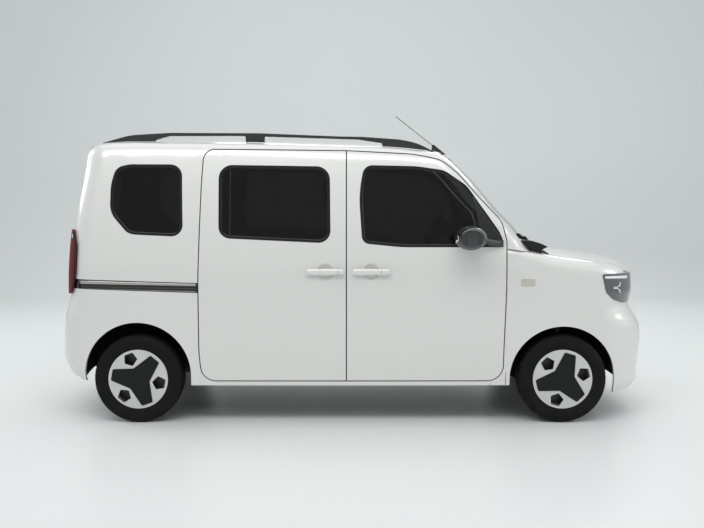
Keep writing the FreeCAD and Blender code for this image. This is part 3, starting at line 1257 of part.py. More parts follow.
# Cabin
SEAT_WIDTH = 450.0
SEAT_Y_SHARE = 0.42
BENCH_HALF_WIDTH = 545.0
FRONT_SEAT_SHARES = [
    (0.500, 0.256), (0.545, 0.256), (0.545, 0.375), (0.700, 0.385), (0.700, 0.455),
    (0.535, 0.450), (0.475, 0.745), (0.468, 0.860), (0.430, 0.865), (0.437, 0.745),
    (0.478, 0.400)]
FRONT_SEAT_CORNERS = [5.0, 5.0, 10.0, 30.0, 30.0, 40.0, 60.0, 25.0, 25.0, 60.0, 60.0]
BENCH_SHARES = [
    (0.190, 0.256), (0.280, 0.256), (0.335, 0.375), (0.335, 0.445), (0.185, 0.440),
    (0.130, 0.740), (0.085, 0.745), (0.135, 0.400)]
BENCH_CORNERS = [5.0, 5.0, 30.0, 30.0, 40.0, 25.0, 25.0, 60.0]
DASH_SHARES = [
    (0.857, 0.300), (0.857, 0.590), (0.820, 0.600), (0.775, 0.580), (0.745, 0.530), (0.780, 0.400)]
DASH_CORNERS = [2.0, 20.0, 30.0, 40.0, 60.0, 60.0]
DASH_HALF_WIDTH = 585.0
WHEEL_RING_RADIUS = 178.0
WHEEL_RING_BAR = 13.0
STEER_HUB_RADIUS = 40.0
STEER_X_SHARE = 0.722
STEER_Z_SHARE = 0.622
COLUMN_TILT = 28.0
COLUMN_RADIUS = 22.0
SPOKE_SHARE = 0.8
SEAT_Y = SEAT_Y_SHARE * HALF_WIDTH


def profile_block(shares, corners, centre_y, width):
    """A rounded side profile carried across a width."""
    face = rounded_face([(station(u), level(v)) for u, v in shares], corners, side_place)
    face.translate(FreeCAD.Vector(0, centre_y - width / 2, 0))
    return face.extrude(FreeCAD.Vector(0, width, 0))


def build_cabin():
    """Seats, dashboard and steering wheel."""
    seat = profile_block(FRONT_SEAT_SHARES, FRONT_SEAT_CORNERS, -SEAT_Y, SEAT_WIDTH)
    seat.translate(FreeCAD.Vector(0, 0, FLOOR_TOP_Z + SEAT_GAP - level(FRONT_SEAT_SHARES[0][1])))
    save("front_seats", pair(seat))
    bench = profile_block(BENCH_SHARES, BENCH_CORNERS, 0.0, 2 * BENCH_HALF_WIDTH)
    bench.translate(FreeCAD.Vector(0, 0, FLOOR_TOP_Z + SEAT_GAP - level(BENCH_SHARES[0][1])))
    save("rear_bench", bench)
    dash = profile_block(DASH_SHARES, DASH_CORNERS, 0.0, 2 * DASH_HALF_WIDTH)
    tilt = math.radians(COLUMN_TILT)
    hub = FreeCAD.Vector(station(STEER_X_SHARE), SEAT_Y, level(STEER_Z_SHARE))
    along = FreeCAD.Vector(math.cos(tilt), 0, -math.sin(tilt))
    start = hub + along * (COLUMN_RADIUS + SEAT_GAP)
    column = Part.makeCylinder(COLUMN_RADIUS, WHEEL_RING_RADIUS, start, along)
    save("dashboard", dash.fuse(column))
    ring = Part.makeTorus(WHEEL_RING_RADIUS, WHEEL_RING_BAR, hub, along)
    boss = Part.makeCylinder(STEER_HUB_RADIUS, 2 * COLUMN_RADIUS, hub - along * COLUMN_RADIUS, along)
    ring = ring.fuse(boss)
    up = FreeCAD.Vector(math.sin(tilt), 0, math.cos(tilt))
    for spoke in (FreeCAD.Vector(0, 1, 0), FreeCAD.Vector(0, -1, 0), up * -1):
        bar = Part.makeCylinder(WHEEL_RING_BAR * SPOKE_SHARE, WHEEL_RING_RADIUS, hub, spoke)
        ring = ring.fuse(bar)
    save("steering_wheel", ring)


# Trim outside
RAIL_BAR_Y_SHARE = 0.705
RAIL_BAR_WIDTH = 34.0
ROOF_RAIL_SHARES = [
    (-0.47, 0.9776), (-0.131, 1.007), (0.069, 1.0152), (0.283, 1.0138), (0.475, 1.0025),
    (0.529, 1.0013), (0.618, 0.992), (0.655, 0.981), (0.678, 0.966), (0.700, 0.949)]
RAIL_HOLE_SHARES = [
    [(0.035, 0.990), (0.069, 1.004), (0.250, 1.004), (0.250, 0.94), (0.035, 0.94)],
    [(0.295, 0.94), (0.295, 1.0015), (0.520, 0.991), (0.576, 0.978), (0.576, 0.93)]]
RAIL_LOW_SHARE = 0.92
RAIL_EDGE = 2.0
RAIL_SEAT_GAP = 0.7
RAIL_BEND = 400.0
RAIL_HOLE_CORNER = 12.0


def build_roof_rails():
    """Roof rails with two long openings each, their feet on the roof."""
    crest = [(station(u), level(v)) for u, v in ROOF_RAIL_SHARES]
    base = [(crest[-1][0], level(RAIL_LOW_SHARE)), (crest[0][0], level(RAIL_LOW_SHARE))]
    corners = [RAIL_EDGE] + [RAIL_BEND] * (len(crest) - 2) + [RAIL_EDGE] * 3
    face = rounded_face(crest + base, corners, side_place)
    for shares in RAIL_HOLE_SHARES:
        hole = [(station(u), level(v)) for u, v in shares]
        face = face.cut(rounded_face(hole, [RAIL_HOLE_CORNER] * len(hole), side_place))
    bar_y = RAIL_BAR_Y_SHARE * HALF_WIDTH
    inner_y = bar_y - RAIL_BAR_WIDTH / 2
    roof = []
    for x in spread(crest[0][0] - OVERRUN, crest[-1][0] + OVERRUN, 40):
        top = skin_point(cabin, -RAIL_SEAT_GAP, (x, -inner_y, HOOP_CENTRE_Z), (0.0, 0.0, 1.0))
        roof.append((x, top.z))
    roof += [(roof[-1][0], 0.0), (roof[0][0], 0.0)]
    face = face.cut(flat_face(roof, side_place))
    keep = max(face.Faces, key=lambda piece: piece.Area)
    rail = keep.extrude(FreeCAD.Vector(0, RAIL_BAR_WIDTH, 0))
    rail.translate(FreeCAD.Vector(0, -bar_y - RAIL_BAR_WIDTH / 2, 0))
    save("roof_rails", pair(rail))


ANTENNA_SHARES = [(0.7487, 0.950), (0.718, 0.9875), (0.712, 0.9875), (0.712, 0.950)]
ANTENNA_TIP_SHARES = (0.6178, 1.0967)
ANTENNA_HALF_WIDTH = 14.0
ANTENNA_ROD = 2.2


def build_antenna():
    """Rod antenna leaning back from a small wedge at the front of the roof."""
    face = flat_face([(station(u), level(v)) for u, v in ANTENNA_SHARES], side_place)
    face.translate(FreeCAD.Vector(0, -ANTENNA_HALF_WIDTH, 0))
    wedge = face.extrude(FreeCAD.Vector(0, 2 * ANTENNA_HALF_WIDTH, 0))
    wedge = wedge.cut(skin_slab(cabin, roof_rays(), -SEAT_GAP, ROOF_THICKNESS))
    wedge = max(wedge.Solids, key=lambda piece: piece.BoundBox.ZMax)
    foot = ANTENNA_SHARES[1]
    start = (station(foot[0]) - ANTENNA_ROD, 0.0, level(foot[1]) - 4 * ANTENNA_ROD)
    mast = rod(ANTENNA_ROD, start, (station(ANTENNA_TIP_SHARES[0]), 0.0, level(ANTENNA_TIP_SHARES[1])))
    save("antenna", wedge.fuse(mast))


MIRROR_SECTIONS = [(50.0, 58.0, 38.0), (85.0, 84.0, 60.0), (150.0, 82.0, 62.0), (195.0, 60.0, 46.0)]
MIRROR_X_SHARE = 0.774
MIRROR_Z_SHARE = 0.652
MIRROR_ROOT_SHARES = (0.845, 0.63)
SAIL_SHARES = [(0.822, 0.618), (0.856, 0.642)]
SAIL_DEPTH = 20.0
ARM_RADIUS = 15.0


def build_mirrors():
    """Door mirrors: a rounded housing on an arm from the sail on the door."""
    x = station(MIRROR_X_SHARE)
    z = level(MIRROR_Z_SHARE)
    rings = []
    for out, half_length, half_height in MIRROR_SECTIONS:
        ring = Part.Ellipse(FreeCAD.Vector(x, -HALF_WIDTH - out, z), half_length, half_height)
        edge = ring.toShape()
        edge.rotate(FreeCAD.Vector(x, -HALF_WIDTH - out, z), FreeCAD.Vector(1, 0, 0), 90)
        rings.append(Part.Wire(edge))
    housing = Part.makeLoft(rings, True)
    arm_y = -half_width(DOOR_FRONT_X, z) - SEAT_GAP
    root = (station(MIRROR_ROOT_SHARES[0]), arm_y - ARM_RADIUS, level(MIRROR_ROOT_SHARES[1]))
    arm = rod(ARM_RADIUS, root, (x, -HALF_WIDTH - MIRROR_SECTIONS[1][0], z))
    low, high = [(station(u), level(v)) for u, v in SAIL_SHARES]
    sail = box((low[0], arm_y - ARM_RADIUS, low[1]), (high[0], arm_y + SAIL_DEPTH, high[1]))
    slab = skin_slab(cabin, side_rays, -SEAT_GAP, DOOR_THICKNESS)
    mirror = housing.fuse([arm, sail]).cut(slab)
    keep = max(mirror.Solids, key=lambda piece: piece.Volume)
    save_sides("mirror", keep)


COWL_DEPTH = 14.0
COWL_THICKNESS = 10.0


CAP_SHARES = [(0.90, 0.55), (0.956, 0.55), (0.956, 0.603), (0.9708, 0.6135), (0.954, 0.625),
              (0.934, 0.634), (0.915, 0.6365), (0.90, 0.6365)]
CAP_OUTER_SHARE = 0.812
CAP_INNER_SHARE = 0.67

WIPER_SHARES = [((-0.68, 0.654), (-0.06, 0.618)), ((-0.02, 0.640), (0.62, 0.612))]
WIPER_BLADE_WIDTH = 15.0
WIPER_BLADE_DEPTH = 9.0
WIPER_ARM_WIDTH = 18.0
WIPER_ARM_DEPTH = 20.0
WIPER_PIVOT_SHARES = [(0.02, 0.600), (0.60, 0.600)]
WIPER_PIVOT_RADIUS = 10.0
WIPER_PIVOT_REACH = 17.0
WIPER_GRIP_SHARE = 0.5


def cowl_skin(outer, inner):
    """Slab at two depths under the nose, between the bonnet's sides."""
    edge = BONNET_SIDE_Y + HALF_GAP - SEAT_GAP
    rays = profile_rays(spread(-edge, edge, 21), [math.radians(a) for a in spread(132, 96, 12)],
                        *NOSE_CENTRE)
    return skin_slab(nose, rays, outer, inner)


def build_cowl():
    """Cowl panel between the bonnet and the windscreen, with its end caps."""
    cowl = cowl_skin(COWL_DEPTH, COWL_DEPTH + COWL_THICKNESS)
    rear_x = station(BONNET_REAR_SHARE) - SHUT_GAP
    corner_x = station(BONNET_REAR_CORNER_SHARE) - SHUT_GAP
    back_x = station(DASH_SHELF_SHARE) - FLOOR_THICKNESS
    arc = Part.Arc(top_place(corner_x, -HALF_WIDTH), top_place(rear_x, 0),
                   top_place(corner_x, HALF_WIDTH)).toShape()
    rest = Part.makePolygon([top_place(corner_x, HALF_WIDTH), top_place(back_x, HALF_WIDTH),
                             top_place(back_x, -HALF_WIDTH), top_place(corner_x, -HALF_WIDTH)])
    outline = Part.Face(Part.Wire([arc] + rest.Edges))
    cowl = cowl.common(outline.extrude(FreeCAD.Vector(0, 0, BODY_HEIGHT)))
    save("cowl_panel", largest(cowl.cut(pane_room())))
    cap = band_face(CAP_SHARES)
    cap.translate(FreeCAD.Vector(0, -CAP_OUTER_SHARE * HALF_WIDTH, 0))
    cap = cap.extrude(FreeCAD.Vector(0, (CAP_OUTER_SHARE - CAP_INNER_SHARE) * HALF_WIDTH, 0))
    cap = cap.cut(cowl_skin(COWL_DEPTH - SEAT_GAP, COWL_DEPTH + 2 * OVERRUN))
    cap = cap.cut(screen_skin(-CAP_GAP, 2 * OVERRUN))
    save("cowl_end_caps", pair(largest(cap)))


def strip_ahead(start, stop, width):
    """A straight strip in the front view, carried along the car."""
    y0, z0 = start[0] * HALF_WIDTH, level(start[1])
    y1, z1 = stop[0] * HALF_WIDTH, level(stop[1])
    face = flat_face([(y0, z0 - width / 2), (y1, z1 - width / 2), (y1, z1 + width / 2),
                      (y0, z0 + width / 2)], front_place)
    face.translate(FreeCAD.Vector(SCREEN_START_X, 0, 0))
    return face.extrude(FreeCAD.Vector(FRONT_END_X - SCREEN_START_X, 0, 0))


def build_wipers():
    """Two wipers parked at the foot of the windscreen, on the cowl."""
    low = GLASS_INSET - SEAT_GAP
    blade_skin = screen_skin(low - WIPER_BLADE_DEPTH, low)
    arm_skin = screen_skin(low - WIPER_ARM_DEPTH, low - WIPER_BLADE_DEPTH / 2, SIDE_FRONT_SHARE)
    under = cowl_skin(COWL_DEPTH - SEAT_GAP, COWL_DEPTH + 2 * OVERRUN)
    wipers = []
    for ends, pivot in zip(WIPER_SHARES, WIPER_PIVOT_SHARES):
        tip, heel = ends
        grip = [a + WIPER_GRIP_SHARE * (b - a) for a, b in zip(tip, heel)]
        blade = blade_skin.common(strip_ahead(tip, heel, WIPER_BLADE_WIDTH))
        arm = arm_skin.common(strip_ahead(grip, pivot, WIPER_ARM_WIDTH))
        y = pivot[0] * HALF_WIDTH
        z = level(pivot[1])
        x = skin_point(cabin, 0.0, (0.0, y, z), (1.0, 0.0, 0.0)).x + WIPER_PIVOT_REACH
        foot = skin_point(nose, COWL_DEPTH - SEAT_GAP, (x, y, HOOP_CENTRE_Z), (0.0, 0.0, 1.0))
        post = rod(WIPER_PIVOT_RADIUS, (x, y, foot.z), (x, y, z + WIPER_PIVOT_RADIUS))
        wipers.append(largest(blade.fuse([arm, post]).cut(under)))
    save("wipers", Part.Compound(wipers))


def build():
    os.makedirs(STEP_FOLDER, exist_ok=True)
    build_doors()
    build_side_frame()
    build_quarter()
    build_roof()
    build_screen()
    build_tailgate()
    build_rear_bumper()
    build_fender()
    build_bonnet()
    build_front_bumper()
    build_wheels()
    build_floor()
    build_liners()
    build_front_end()
    build_rear_end()
    build_cabin()
    build_roof_rails()
    build_antenna()
    build_mirrors()
    build_cowl()
    build_wipers()
    build_tracks()


build()
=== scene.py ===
# %% [markdown]
# # Dressing a small box-shaped car
#
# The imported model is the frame: every panel, wheel and seat already has its place there.
# This lesson adds the looks. Smooth paint needs welded meshes, rubber needs a tread, lamps need
# their bright strips, and seats need cloth, so each of those gets a step of its own.

# %% Load the frame
import json
import math

import bmesh
import bpy
import numpy as np
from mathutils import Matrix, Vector

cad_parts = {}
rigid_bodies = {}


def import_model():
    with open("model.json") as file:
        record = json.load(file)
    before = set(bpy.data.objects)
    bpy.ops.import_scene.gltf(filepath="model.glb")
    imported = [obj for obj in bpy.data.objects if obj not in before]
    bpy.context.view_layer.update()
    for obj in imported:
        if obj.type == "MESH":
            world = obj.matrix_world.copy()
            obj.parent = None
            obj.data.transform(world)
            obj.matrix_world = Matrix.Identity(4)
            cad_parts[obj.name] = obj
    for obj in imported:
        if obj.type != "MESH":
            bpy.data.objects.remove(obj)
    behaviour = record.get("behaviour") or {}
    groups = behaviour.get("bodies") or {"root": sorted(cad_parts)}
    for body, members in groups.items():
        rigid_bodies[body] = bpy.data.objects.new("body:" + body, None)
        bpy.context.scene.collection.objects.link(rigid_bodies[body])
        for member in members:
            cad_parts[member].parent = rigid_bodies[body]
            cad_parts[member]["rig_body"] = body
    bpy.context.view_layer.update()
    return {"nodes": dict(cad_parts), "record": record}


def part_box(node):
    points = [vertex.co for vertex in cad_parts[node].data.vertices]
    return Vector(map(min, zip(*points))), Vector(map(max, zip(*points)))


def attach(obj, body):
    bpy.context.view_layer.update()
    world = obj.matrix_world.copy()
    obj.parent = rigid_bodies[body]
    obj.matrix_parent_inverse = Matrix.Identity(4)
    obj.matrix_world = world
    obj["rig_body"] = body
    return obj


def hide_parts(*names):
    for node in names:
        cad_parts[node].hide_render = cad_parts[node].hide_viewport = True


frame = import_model()

# %% [markdown]
# ## Where the camera stands
#
# The side view has hardly any vanishing: both wheels look equally round, and the floor is seen
# from a little above bonnet height. A lens of 51 mm from 5.5 m away gives that. The alternative,
# an orthographic camera, would lose the small taper that the far wheels show.

# %% Camera
SCENE = bpy.context.scene.collection
PICTURE_WIDTH = 704
FOCAL_PIXELS = 1000.0
CAMERA_PLACE = (-0.021, -6.211, 1.3007)
CAMERA_DIP = 4.289
camera_data = bpy.data.cameras.new("side_camera")
camera_data.sensor_width = 36.0
camera_data.lens = FOCAL_PIXELS / PICTURE_WIDTH * camera_data.sensor_width
camera = bpy.data.objects.new("side_camera", camera_data)
camera.location = CAMERA_PLACE
camera.rotation_euler = (math.radians(90.0 - CAMERA_DIP), 0.0, 0.0)
SCENE.objects.link(camera)
bpy.context.scene.camera = camera
print("lens", round(camera_data.lens, 2), "mm")

# %% [markdown]
# ## Meshes from arrays
#
# Nearly every new piece is a grid: one parameter runs round a section, the other along a path.
# Blender can build it from vertices and faces that numpy worked out in one go, which is faster
# and easier to read than adding points one at a time.

# %% Grid helper


def grid_faces(rows, columns, round_rows, round_columns):
    """Quads between neighbours (i, j), (i, j+1), (i+1, j+1), (i+1, j), wrapped where a side closes."""
    i = np.arange(rows if round_rows else rows - 1)[:, None]
    j = np.arange(columns if round_columns else columns - 1)[None, :]
    next_i, next_j = (i + 1) % rows, (j + 1) % columns
    quads = [i * columns + j, i * columns + next_j, next_i * columns + next_j, next_i * columns + j]
    return np.stack(quads, axis=-1).reshape(-1, 4)


def grid_piece(name, points, round_rows=False, round_columns=False, caps=False):
    """A mesh object from an array (rows, columns, 3); caps close the first and last row with one face."""
    points = np.asarray(points, float)
    rows, columns = points.shape[:2]
    faces = grid_faces(rows, columns, round_rows, round_columns).tolist()
    if caps:
        faces.append(list(range(columns))[::-1])
        faces.append(list(range((rows - 1) * columns, rows * columns)))
    mesh = bpy.data.meshes.new(name)
    mesh.from_pydata(points.reshape(-1, 3).tolist(), [], faces)
    return shown(name, mesh)


def shown(name, mesh, merge=1e-6, angle=32.0, outwards=True):
    """Puts a mesh in the scene with its doubles merged, smooth faces and hard edges above an angle."""
    work = bmesh.new()
    work.from_mesh(mesh)
    bmesh.ops.remove_doubles(work, verts=work.verts, dist=merge)
    if outwards:
        bmesh.ops.recalc_face_normals(work, faces=work.faces)
    work.to_mesh(mesh)
    work.free()
    mesh.polygons.foreach_set("use_smooth", np.ones(len(mesh.polygons), bool))
    mesh.set_sharp_from_angle(angle=math.radians(angle))
    piece = bpy.data.objects.new(name, mesh)
    SCENE.objects.link(piece)
    return piece


# %% [markdown]
# ## Floor and backdrop
#
# The studio is plain: a pale floor that turns up into a pale wall. One sheet with a rounded
# corner does both, so that no line shows behind the car. It is stage, not part of the object.
# Its material is clear from behind, so a camera beyond the wall or under the floor sees the car.

# %% Sweep of floor and wall
FLOOR_FRONT, FLOOR_BACK, FLOOR_HALF_WIDTH = -14.0, 5.5, 16.0
WALL_BEND = 2.0
WALL_TOP = 7.0
FLOOR_SINK = 0.0006
turn = np.linspace(0.0, math.pi / 2, 24)
wall_y = FLOOR_BACK + WALL_BEND
run_y = np.concatenate([[FLOOR_FRONT, 0.0], FLOOR_BACK + WALL_BEND * np.sin(turn), [wall_y]])
run_z = np.concatenate([[0.0, 0.0], WALL_BEND - WALL_BEND * np.cos(turn), [WALL_TOP]])
across = np.linspace(-FLOOR_HALF_WIDTH, FLOOR_HALF_WIDTH, 9)
sweep = np.stack(np.broadcast_arrays(across[:, None], run_y[None, :], run_z[None, :]), axis=-1)
studio_floor = grid_piece("studio_floor", sweep - np.array([0.0, 0.0, FLOOR_SINK]))
if studio_floor.data.polygons[0].normal.z < 0.0:
    studio_floor.data.flip_normals()
print("floor reaches", FLOOR_BACK, "m behind")

# %% [markdown]
# ## Nodes and their links
#
# The sky, the floor and every finish are small node trees. One helper adds a node together with
# its values and its links, so a tree reads from its first node to its last.

# %% Node helpers
BY_NUMBER = {"first": 0, "second": 1, "third": 2}


def feed(tree, node, **values):
    """Each name is an input's, a property's, or first, second or third; (node, output) makes a link."""
    for key, value in values.items():
        socket = BY_NUMBER.get(key, key.replace("_", " ").title().replace("Ior", "IOR"))
        if key not in BY_NUMBER and socket not in node.inputs:
            setattr(node, key, value)
        elif isinstance(value, tuple) and isinstance(value[0], bpy.types.Node):
            tree.links.new(value[0].outputs[value[1]], node.inputs[socket])
        else:
            node.inputs[socket].default_value = value


def put(tree, kind, **values):
    """Adds a shader node of a kind, and feeds it."""
    node = tree.nodes.new("ShaderNode" + kind)
    feed(tree, node, **values)
    return node


# %% [markdown]
# ## Soft light
#
# A car is judged by what it reflects. One wide lamp overhead gives the long highlight on the
# roof and shoulders, and one from the camera's side keeps the doors even. The sky fills the rest.
# The camera, and what glass and gloss show it, sees a pale backdrop in place of that sky.

# %% Lamps and sky


def soft_lamp(name, place, aim, size, watts):
    """A rectangular lamp whose -Z axis points from its place to the aim."""
    data = bpy.data.lights.new(name, "AREA")
    data.shape = "RECTANGLE"
    data.size, data.size_y = size
    data.energy = watts
    lamp = bpy.data.objects.new(name, data)
    lamp.location = place
    lamp.rotation_euler = (Vector(aim) - Vector(place)).to_track_quat("-Z", "Y").to_euler()
    SCENE.objects.link(lamp)


soft_lamp("overhead_lamp", (0.0, 0.4, 4.8), (0.0, 0.0, 0.0), (7.0, 3.2), 42.0)
soft_lamp("near_side_lamp", (-0.8, -4.6, 5.7), (0.0, 2.5, 1.0), (7.0, 2.4), 208.0)
soft_lamp("front_lamp", (6.0, -1.5, 3.0), (1.0, 0.0, 0.7), (2.4, 2.4), 60.0)
soft_lamp("rear_lamp", (-6.0, 1.5, 3.2), (-1.0, 0.0, 0.7), (2.4, 2.4), 60.0)
soft_lamp("far_side_lamp", (0.8, 5.6, 3.6), (0.0, 0.0, 0.7), (5.0, 2.0), 90.0)

world = bpy.data.worlds.new("studio_sky")
bpy.context.scene.world = world
world.use_nodes = True
sky = world.node_tree
sky.nodes.clear()
ray = put(sky, "LightPath")
direct = put(sky, "Math", operation="MAXIMUM", first=(ray, "Is Camera Ray"),
             second=(ray, "Is Transmission Ray"))
mirrored = put(sky, "Math", operation="MAXIMUM", first=(direct, 0), second=(ray, "Is Glossy Ray"))
sky_soft = put(sky, "Background", color=(0.93, 0.96, 1.0, 1.0), strength=0.50)
sky_seen = put(sky, "Background", color=(0.640, 0.680, 0.680, 1.0))
sky_mix = put(sky, "MixShader", fac=(mirrored, 0), second=(sky_soft, 0), third=(sky_seen, 0))
put(sky, "OutputWorld", surface=(sky_mix, 0))
bpy.context.scene.view_settings.view_transform = "Standard"
print("lamps", len(bpy.data.lights))

# %% [markdown]
# ## Shared effects as node groups
#
# Several finishes share an effect: dust that settles low down, the fine grain of moulded
# plastic, the tiny orange peel under a clear coat, a weave. Each is one node group with named
# sockets, so that a material only sets its own values.

# %% Group helper
OUTPUT_KIND = {"Colour": "NodeSocketColor", "Roughness": "NodeSocketFloat", "Normal": "NodeSocketVector"}


def rgb(*parts):
    """A colour with its alpha."""
    return (*parts, 1.0)


def new_group(title, inputs, *outputs):
    """A node group from the names and values of its inputs, and the names of its outputs."""
    tree = bpy.data.node_groups.new(title, "ShaderNodeTree")
    for name, value in inputs.items():
        kind = "NodeSocketColor" if isinstance(value, tuple) else "NodeSocketFloat"
        socket = tree.interface.new_socket(name=name, in_out="INPUT", socket_type=kind)
        socket.default_value = value
    for name in outputs:
        tree.interface.new_socket(name=name, in_out="OUTPUT", socket_type=OUTPUT_KIND[name])
    print("group", title)
    return tree, tree.nodes.new("NodeGroupInput"), tree.nodes.new("NodeGroupOutput")


# %% Orange peel and flake under the clear coat
paint_group, g_in, g_out = new_group(
    "Flake And Peel",
    {"Colour": rgb(0.8, 0.8, 0.8), "Flake Scale": 900.0, "Flake Amount": 0.04, "Peel Scale": 160.0,
     "Peel Depth": 0.02, "Roughness": 0.3}, "Colour", "Roughness", "Normal")
at = put(paint_group, "TexCoord")
flake = put(paint_group, "TexVoronoi", vector=(at, "Object"), scale=(g_in, "Flake Scale"))
swing = put(paint_group, "Math", operation="MULTIPLY_ADD", first=(flake, "Color"),
            second=(g_in, "Flake Amount"), third=0.98)
tint = put(paint_group, "HueSaturation", value=(swing, 0), color=(g_in, "Colour"))
shift = put(paint_group, "Math", operation="MULTIPLY_ADD", first=(flake, "Color"),
            second=(g_in, "Flake Amount"), third=(g_in, "Roughness"))
peel = put(paint_group, "TexNoise", detail=1.0, vector=(at, "Object"), scale=(g_in, "Peel Scale"))
bump = put(paint_group, "Bump", distance=0.001, height=(peel, 0), strength=(g_in, "Peel Depth"))
feed(paint_group, g_out, colour=(tint, "Color"), roughness=(shift, 0), normal=(bump, "Normal"))

# %% Dust that settles low down
dust_group, g_in, g_out = new_group(
    "Low Dust",
    {"Colour": rgb(0.1, 0.1, 0.1), "Dust": rgb(0.32, 0.29, 0.25), "Top": 0.45, "Amount": 0.25,
     "Roughness": 0.5}, "Colour", "Roughness")
at = put(dust_group, "TexCoord")
split = put(dust_group, "SeparateXYZ", vector=(at, "Object"))
fall = put(dust_group, "MapRange", clamp=True, value=(split, "Z"), from_min=(g_in, "Top"), from_max=0.0)
cloud = put(dust_group, "TexNoise", vector=(at, "Object"), scale=14.0, detail=6.0, roughness=0.65)
grade = put(dust_group, "MapRange", clamp=True, value=(cloud, 0), from_min=0.35, from_max=0.70)
both = put(dust_group, "Math", operation="MULTIPLY", first=(fall, 0), second=(grade, 0))
share = put(dust_group, "Math", operation="MULTIPLY", first=(both, 0), second=(g_in, "Amount"))
mixer = put(dust_group, "Mix", data_type="RGBA", factor=(share, 0), a=(g_in, "Colour"), b=(g_in, "Dust"))
rough = put(dust_group, "Math", operation="MULTIPLY_ADD", use_clamp=True, first=(share, 0), second=0.5,
            third=(g_in, "Roughness"))
feed(dust_group, g_out, colour=(mixer, "Result"), roughness=(rough, 0))

# %% Fine grain of moulded plastic, cast metal and rubber
grain_group, g_in, g_out = new_group(
    "Fine Grain",
    {"Colour": rgb(0.05, 0.05, 0.05), "Scale": 900.0, "Depth": 0.15, "Blotch": 0.10, "Roughness": 0.5},
    "Colour", "Roughness", "Normal")
at = put(grain_group, "TexCoord")
cells = put(grain_group, "TexVoronoi", vector=(at, "Object"), scale=(g_in, "Scale"))
blotch = put(grain_group, "TexNoise", vector=(at, "Object"), scale=22.0, detail=4.0)
low = put(grain_group, "Math", operation="SUBTRACT", first=1.0, second=(g_in, "Blotch"))
high = put(grain_group, "Math", operation="ADD", first=1.0, second=(g_in, "Blotch"))
level = put(grain_group, "MapRange", value=(blotch, 0), to_min=(low, 0), to_max=(high, 0))
tint = put(grain_group, "HueSaturation", value=(level, 0), color=(g_in, "Colour"))
rough = put(grain_group, "Math", operation="MULTIPLY", first=(level, 0), second=(g_in, "Roughness"))
bump = put(grain_group, "Bump", distance=0.0006, height=(cells, "Distance"), strength=(g_in, "Depth"))
feed(grain_group, g_out, colour=(tint, "Color"), roughness=(rough, 0), normal=(bump, "Normal"))

# %% Woven cloth from three crossing waves
weave_group, g_in, g_out = new_group(
    "Plain Weave",
    {"Warp": rgb(0.1, 0.1, 0.1), "Weft": rgb(0.2, 0.2, 0.2), "Threads": 2600.0, "Depth": 0.4},
    "Colour", "Normal")
at = put(weave_group, "TexCoord")
grow = put(weave_group, "VectorMath", operation="SCALE", first=(at, "Object"), scale=(g_in, "Threads"))
waves = put(weave_group, "VectorMath", operation="SINE", first=(grow, 0))
parts = put(weave_group, "SeparateXYZ", vector=(waves, 0))
two = put(weave_group, "Math", operation="ADD", first=(parts, "X"), second=(parts, "Y"))
three = put(weave_group, "Math", operation="ADD", first=(two, 0), second=(parts, "Z"))
level = put(weave_group, "MapRange", value=(three, 0), from_min=-1.6, from_max=1.6)
mixer = put(weave_group, "Mix", data_type="RGBA", factor=(level, 0), a=(g_in, "Warp"), b=(g_in, "Weft"))
cloud = put(weave_group, "TexNoise", vector=(at, "Object"), scale=9.0, detail=3.0)
lift = put(weave_group, "MapRange", value=(cloud, 0), to_min=0.86, to_max=1.14)
shade = put(weave_group, "HueSaturation", value=(lift, 0), color=(mixer, "Result"))
bump = put(weave_group, "Bump", distance=0.0008, height=(level, 0), strength=(g_in, "Depth"))
feed(weave_group, g_out, colour=(shade, "Color"), normal=(bump, "Normal"))

# %% [markdown]
# ## Materials
#
# Each finish is one Principled shader. What is the same all over stays on the shader's own
# sockets, and only what changes over the surface comes from a group.

# %% Material helpers


def material(name, **plain):
    """A material with one Principled shader; plain values go on the shader's own sockets."""
    mat = bpy.data.materials.new(name)
    mat.use_nodes = True
    shader = mat.node_tree.nodes["Principled BSDF"]
    feed(mat.node_tree, shader, **plain)
    return mat, shader


def use_group(mat, group, **values):
    """Places a group in a material and feeds it."""
    return put(mat.node_tree, "Group", node_tree=group, **values)


def joined(mat, shader, effect, dust=0.0, top=0.45):
    """Links an effect to the shader; dust, where there is any, changes colour and roughness on the way."""
    tree = mat.node_tree
    feed(tree, shader, normal=(effect, "Normal"))
    if dust:
        effect = use_group(mat, dust_group, colour=(effect, "Colour"), roughness=(effect, "Roughness"),
                           top=top, amount=dust)
    feed(tree, shader, base_color=(effect, "Colour"))
    if "Roughness" in effect.outputs:
        feed(tree, shader, roughness=(effect, "Roughness"))
    return mat


def grained(name, colour, roughness, scale, depth, blotch=0.10, dust=0.0, top=0.45, **plain):
    """A moulded, cast or rubber finish: fine grain, and dust low down where there is any."""
    mat, shader = material(name, **plain)
    grain = use_group(mat, grain_group, colour=colour, scale=scale, depth=depth, blotch=blotch,
                      roughness=roughness)
    return joined(mat, shader, grain, dust, top)


def lacquered(name, colour, roughness, flake=0.04, scale=900.0, peel=0.02, dust=0.0, **plain):
    """A painted finish: flake and orange peel under a clear coat, and a little dust low down."""
    mat, shader = material(name, **plain)
    coat = use_group(mat, paint_group, colour=colour, flake_scale=scale, flake_amount=flake,
                     peel_depth=peel, roughness=roughness)
    return joined(mat, shader, coat, dust)


def clear(name, tint, roughness, depth=0.015, scale=7.0, ior=1.45):
    """Glass: plain transmission, with the faint waviness of a formed sheet."""
    mat, shader = material(name, transmission_weight=1.0, ior=ior)
    wave = use_group(mat, paint_group, colour=tint, flake_amount=0.0, peel_scale=scale,
                     peel_depth=depth, roughness=roughness)
    return joined(mat, shader, wave)


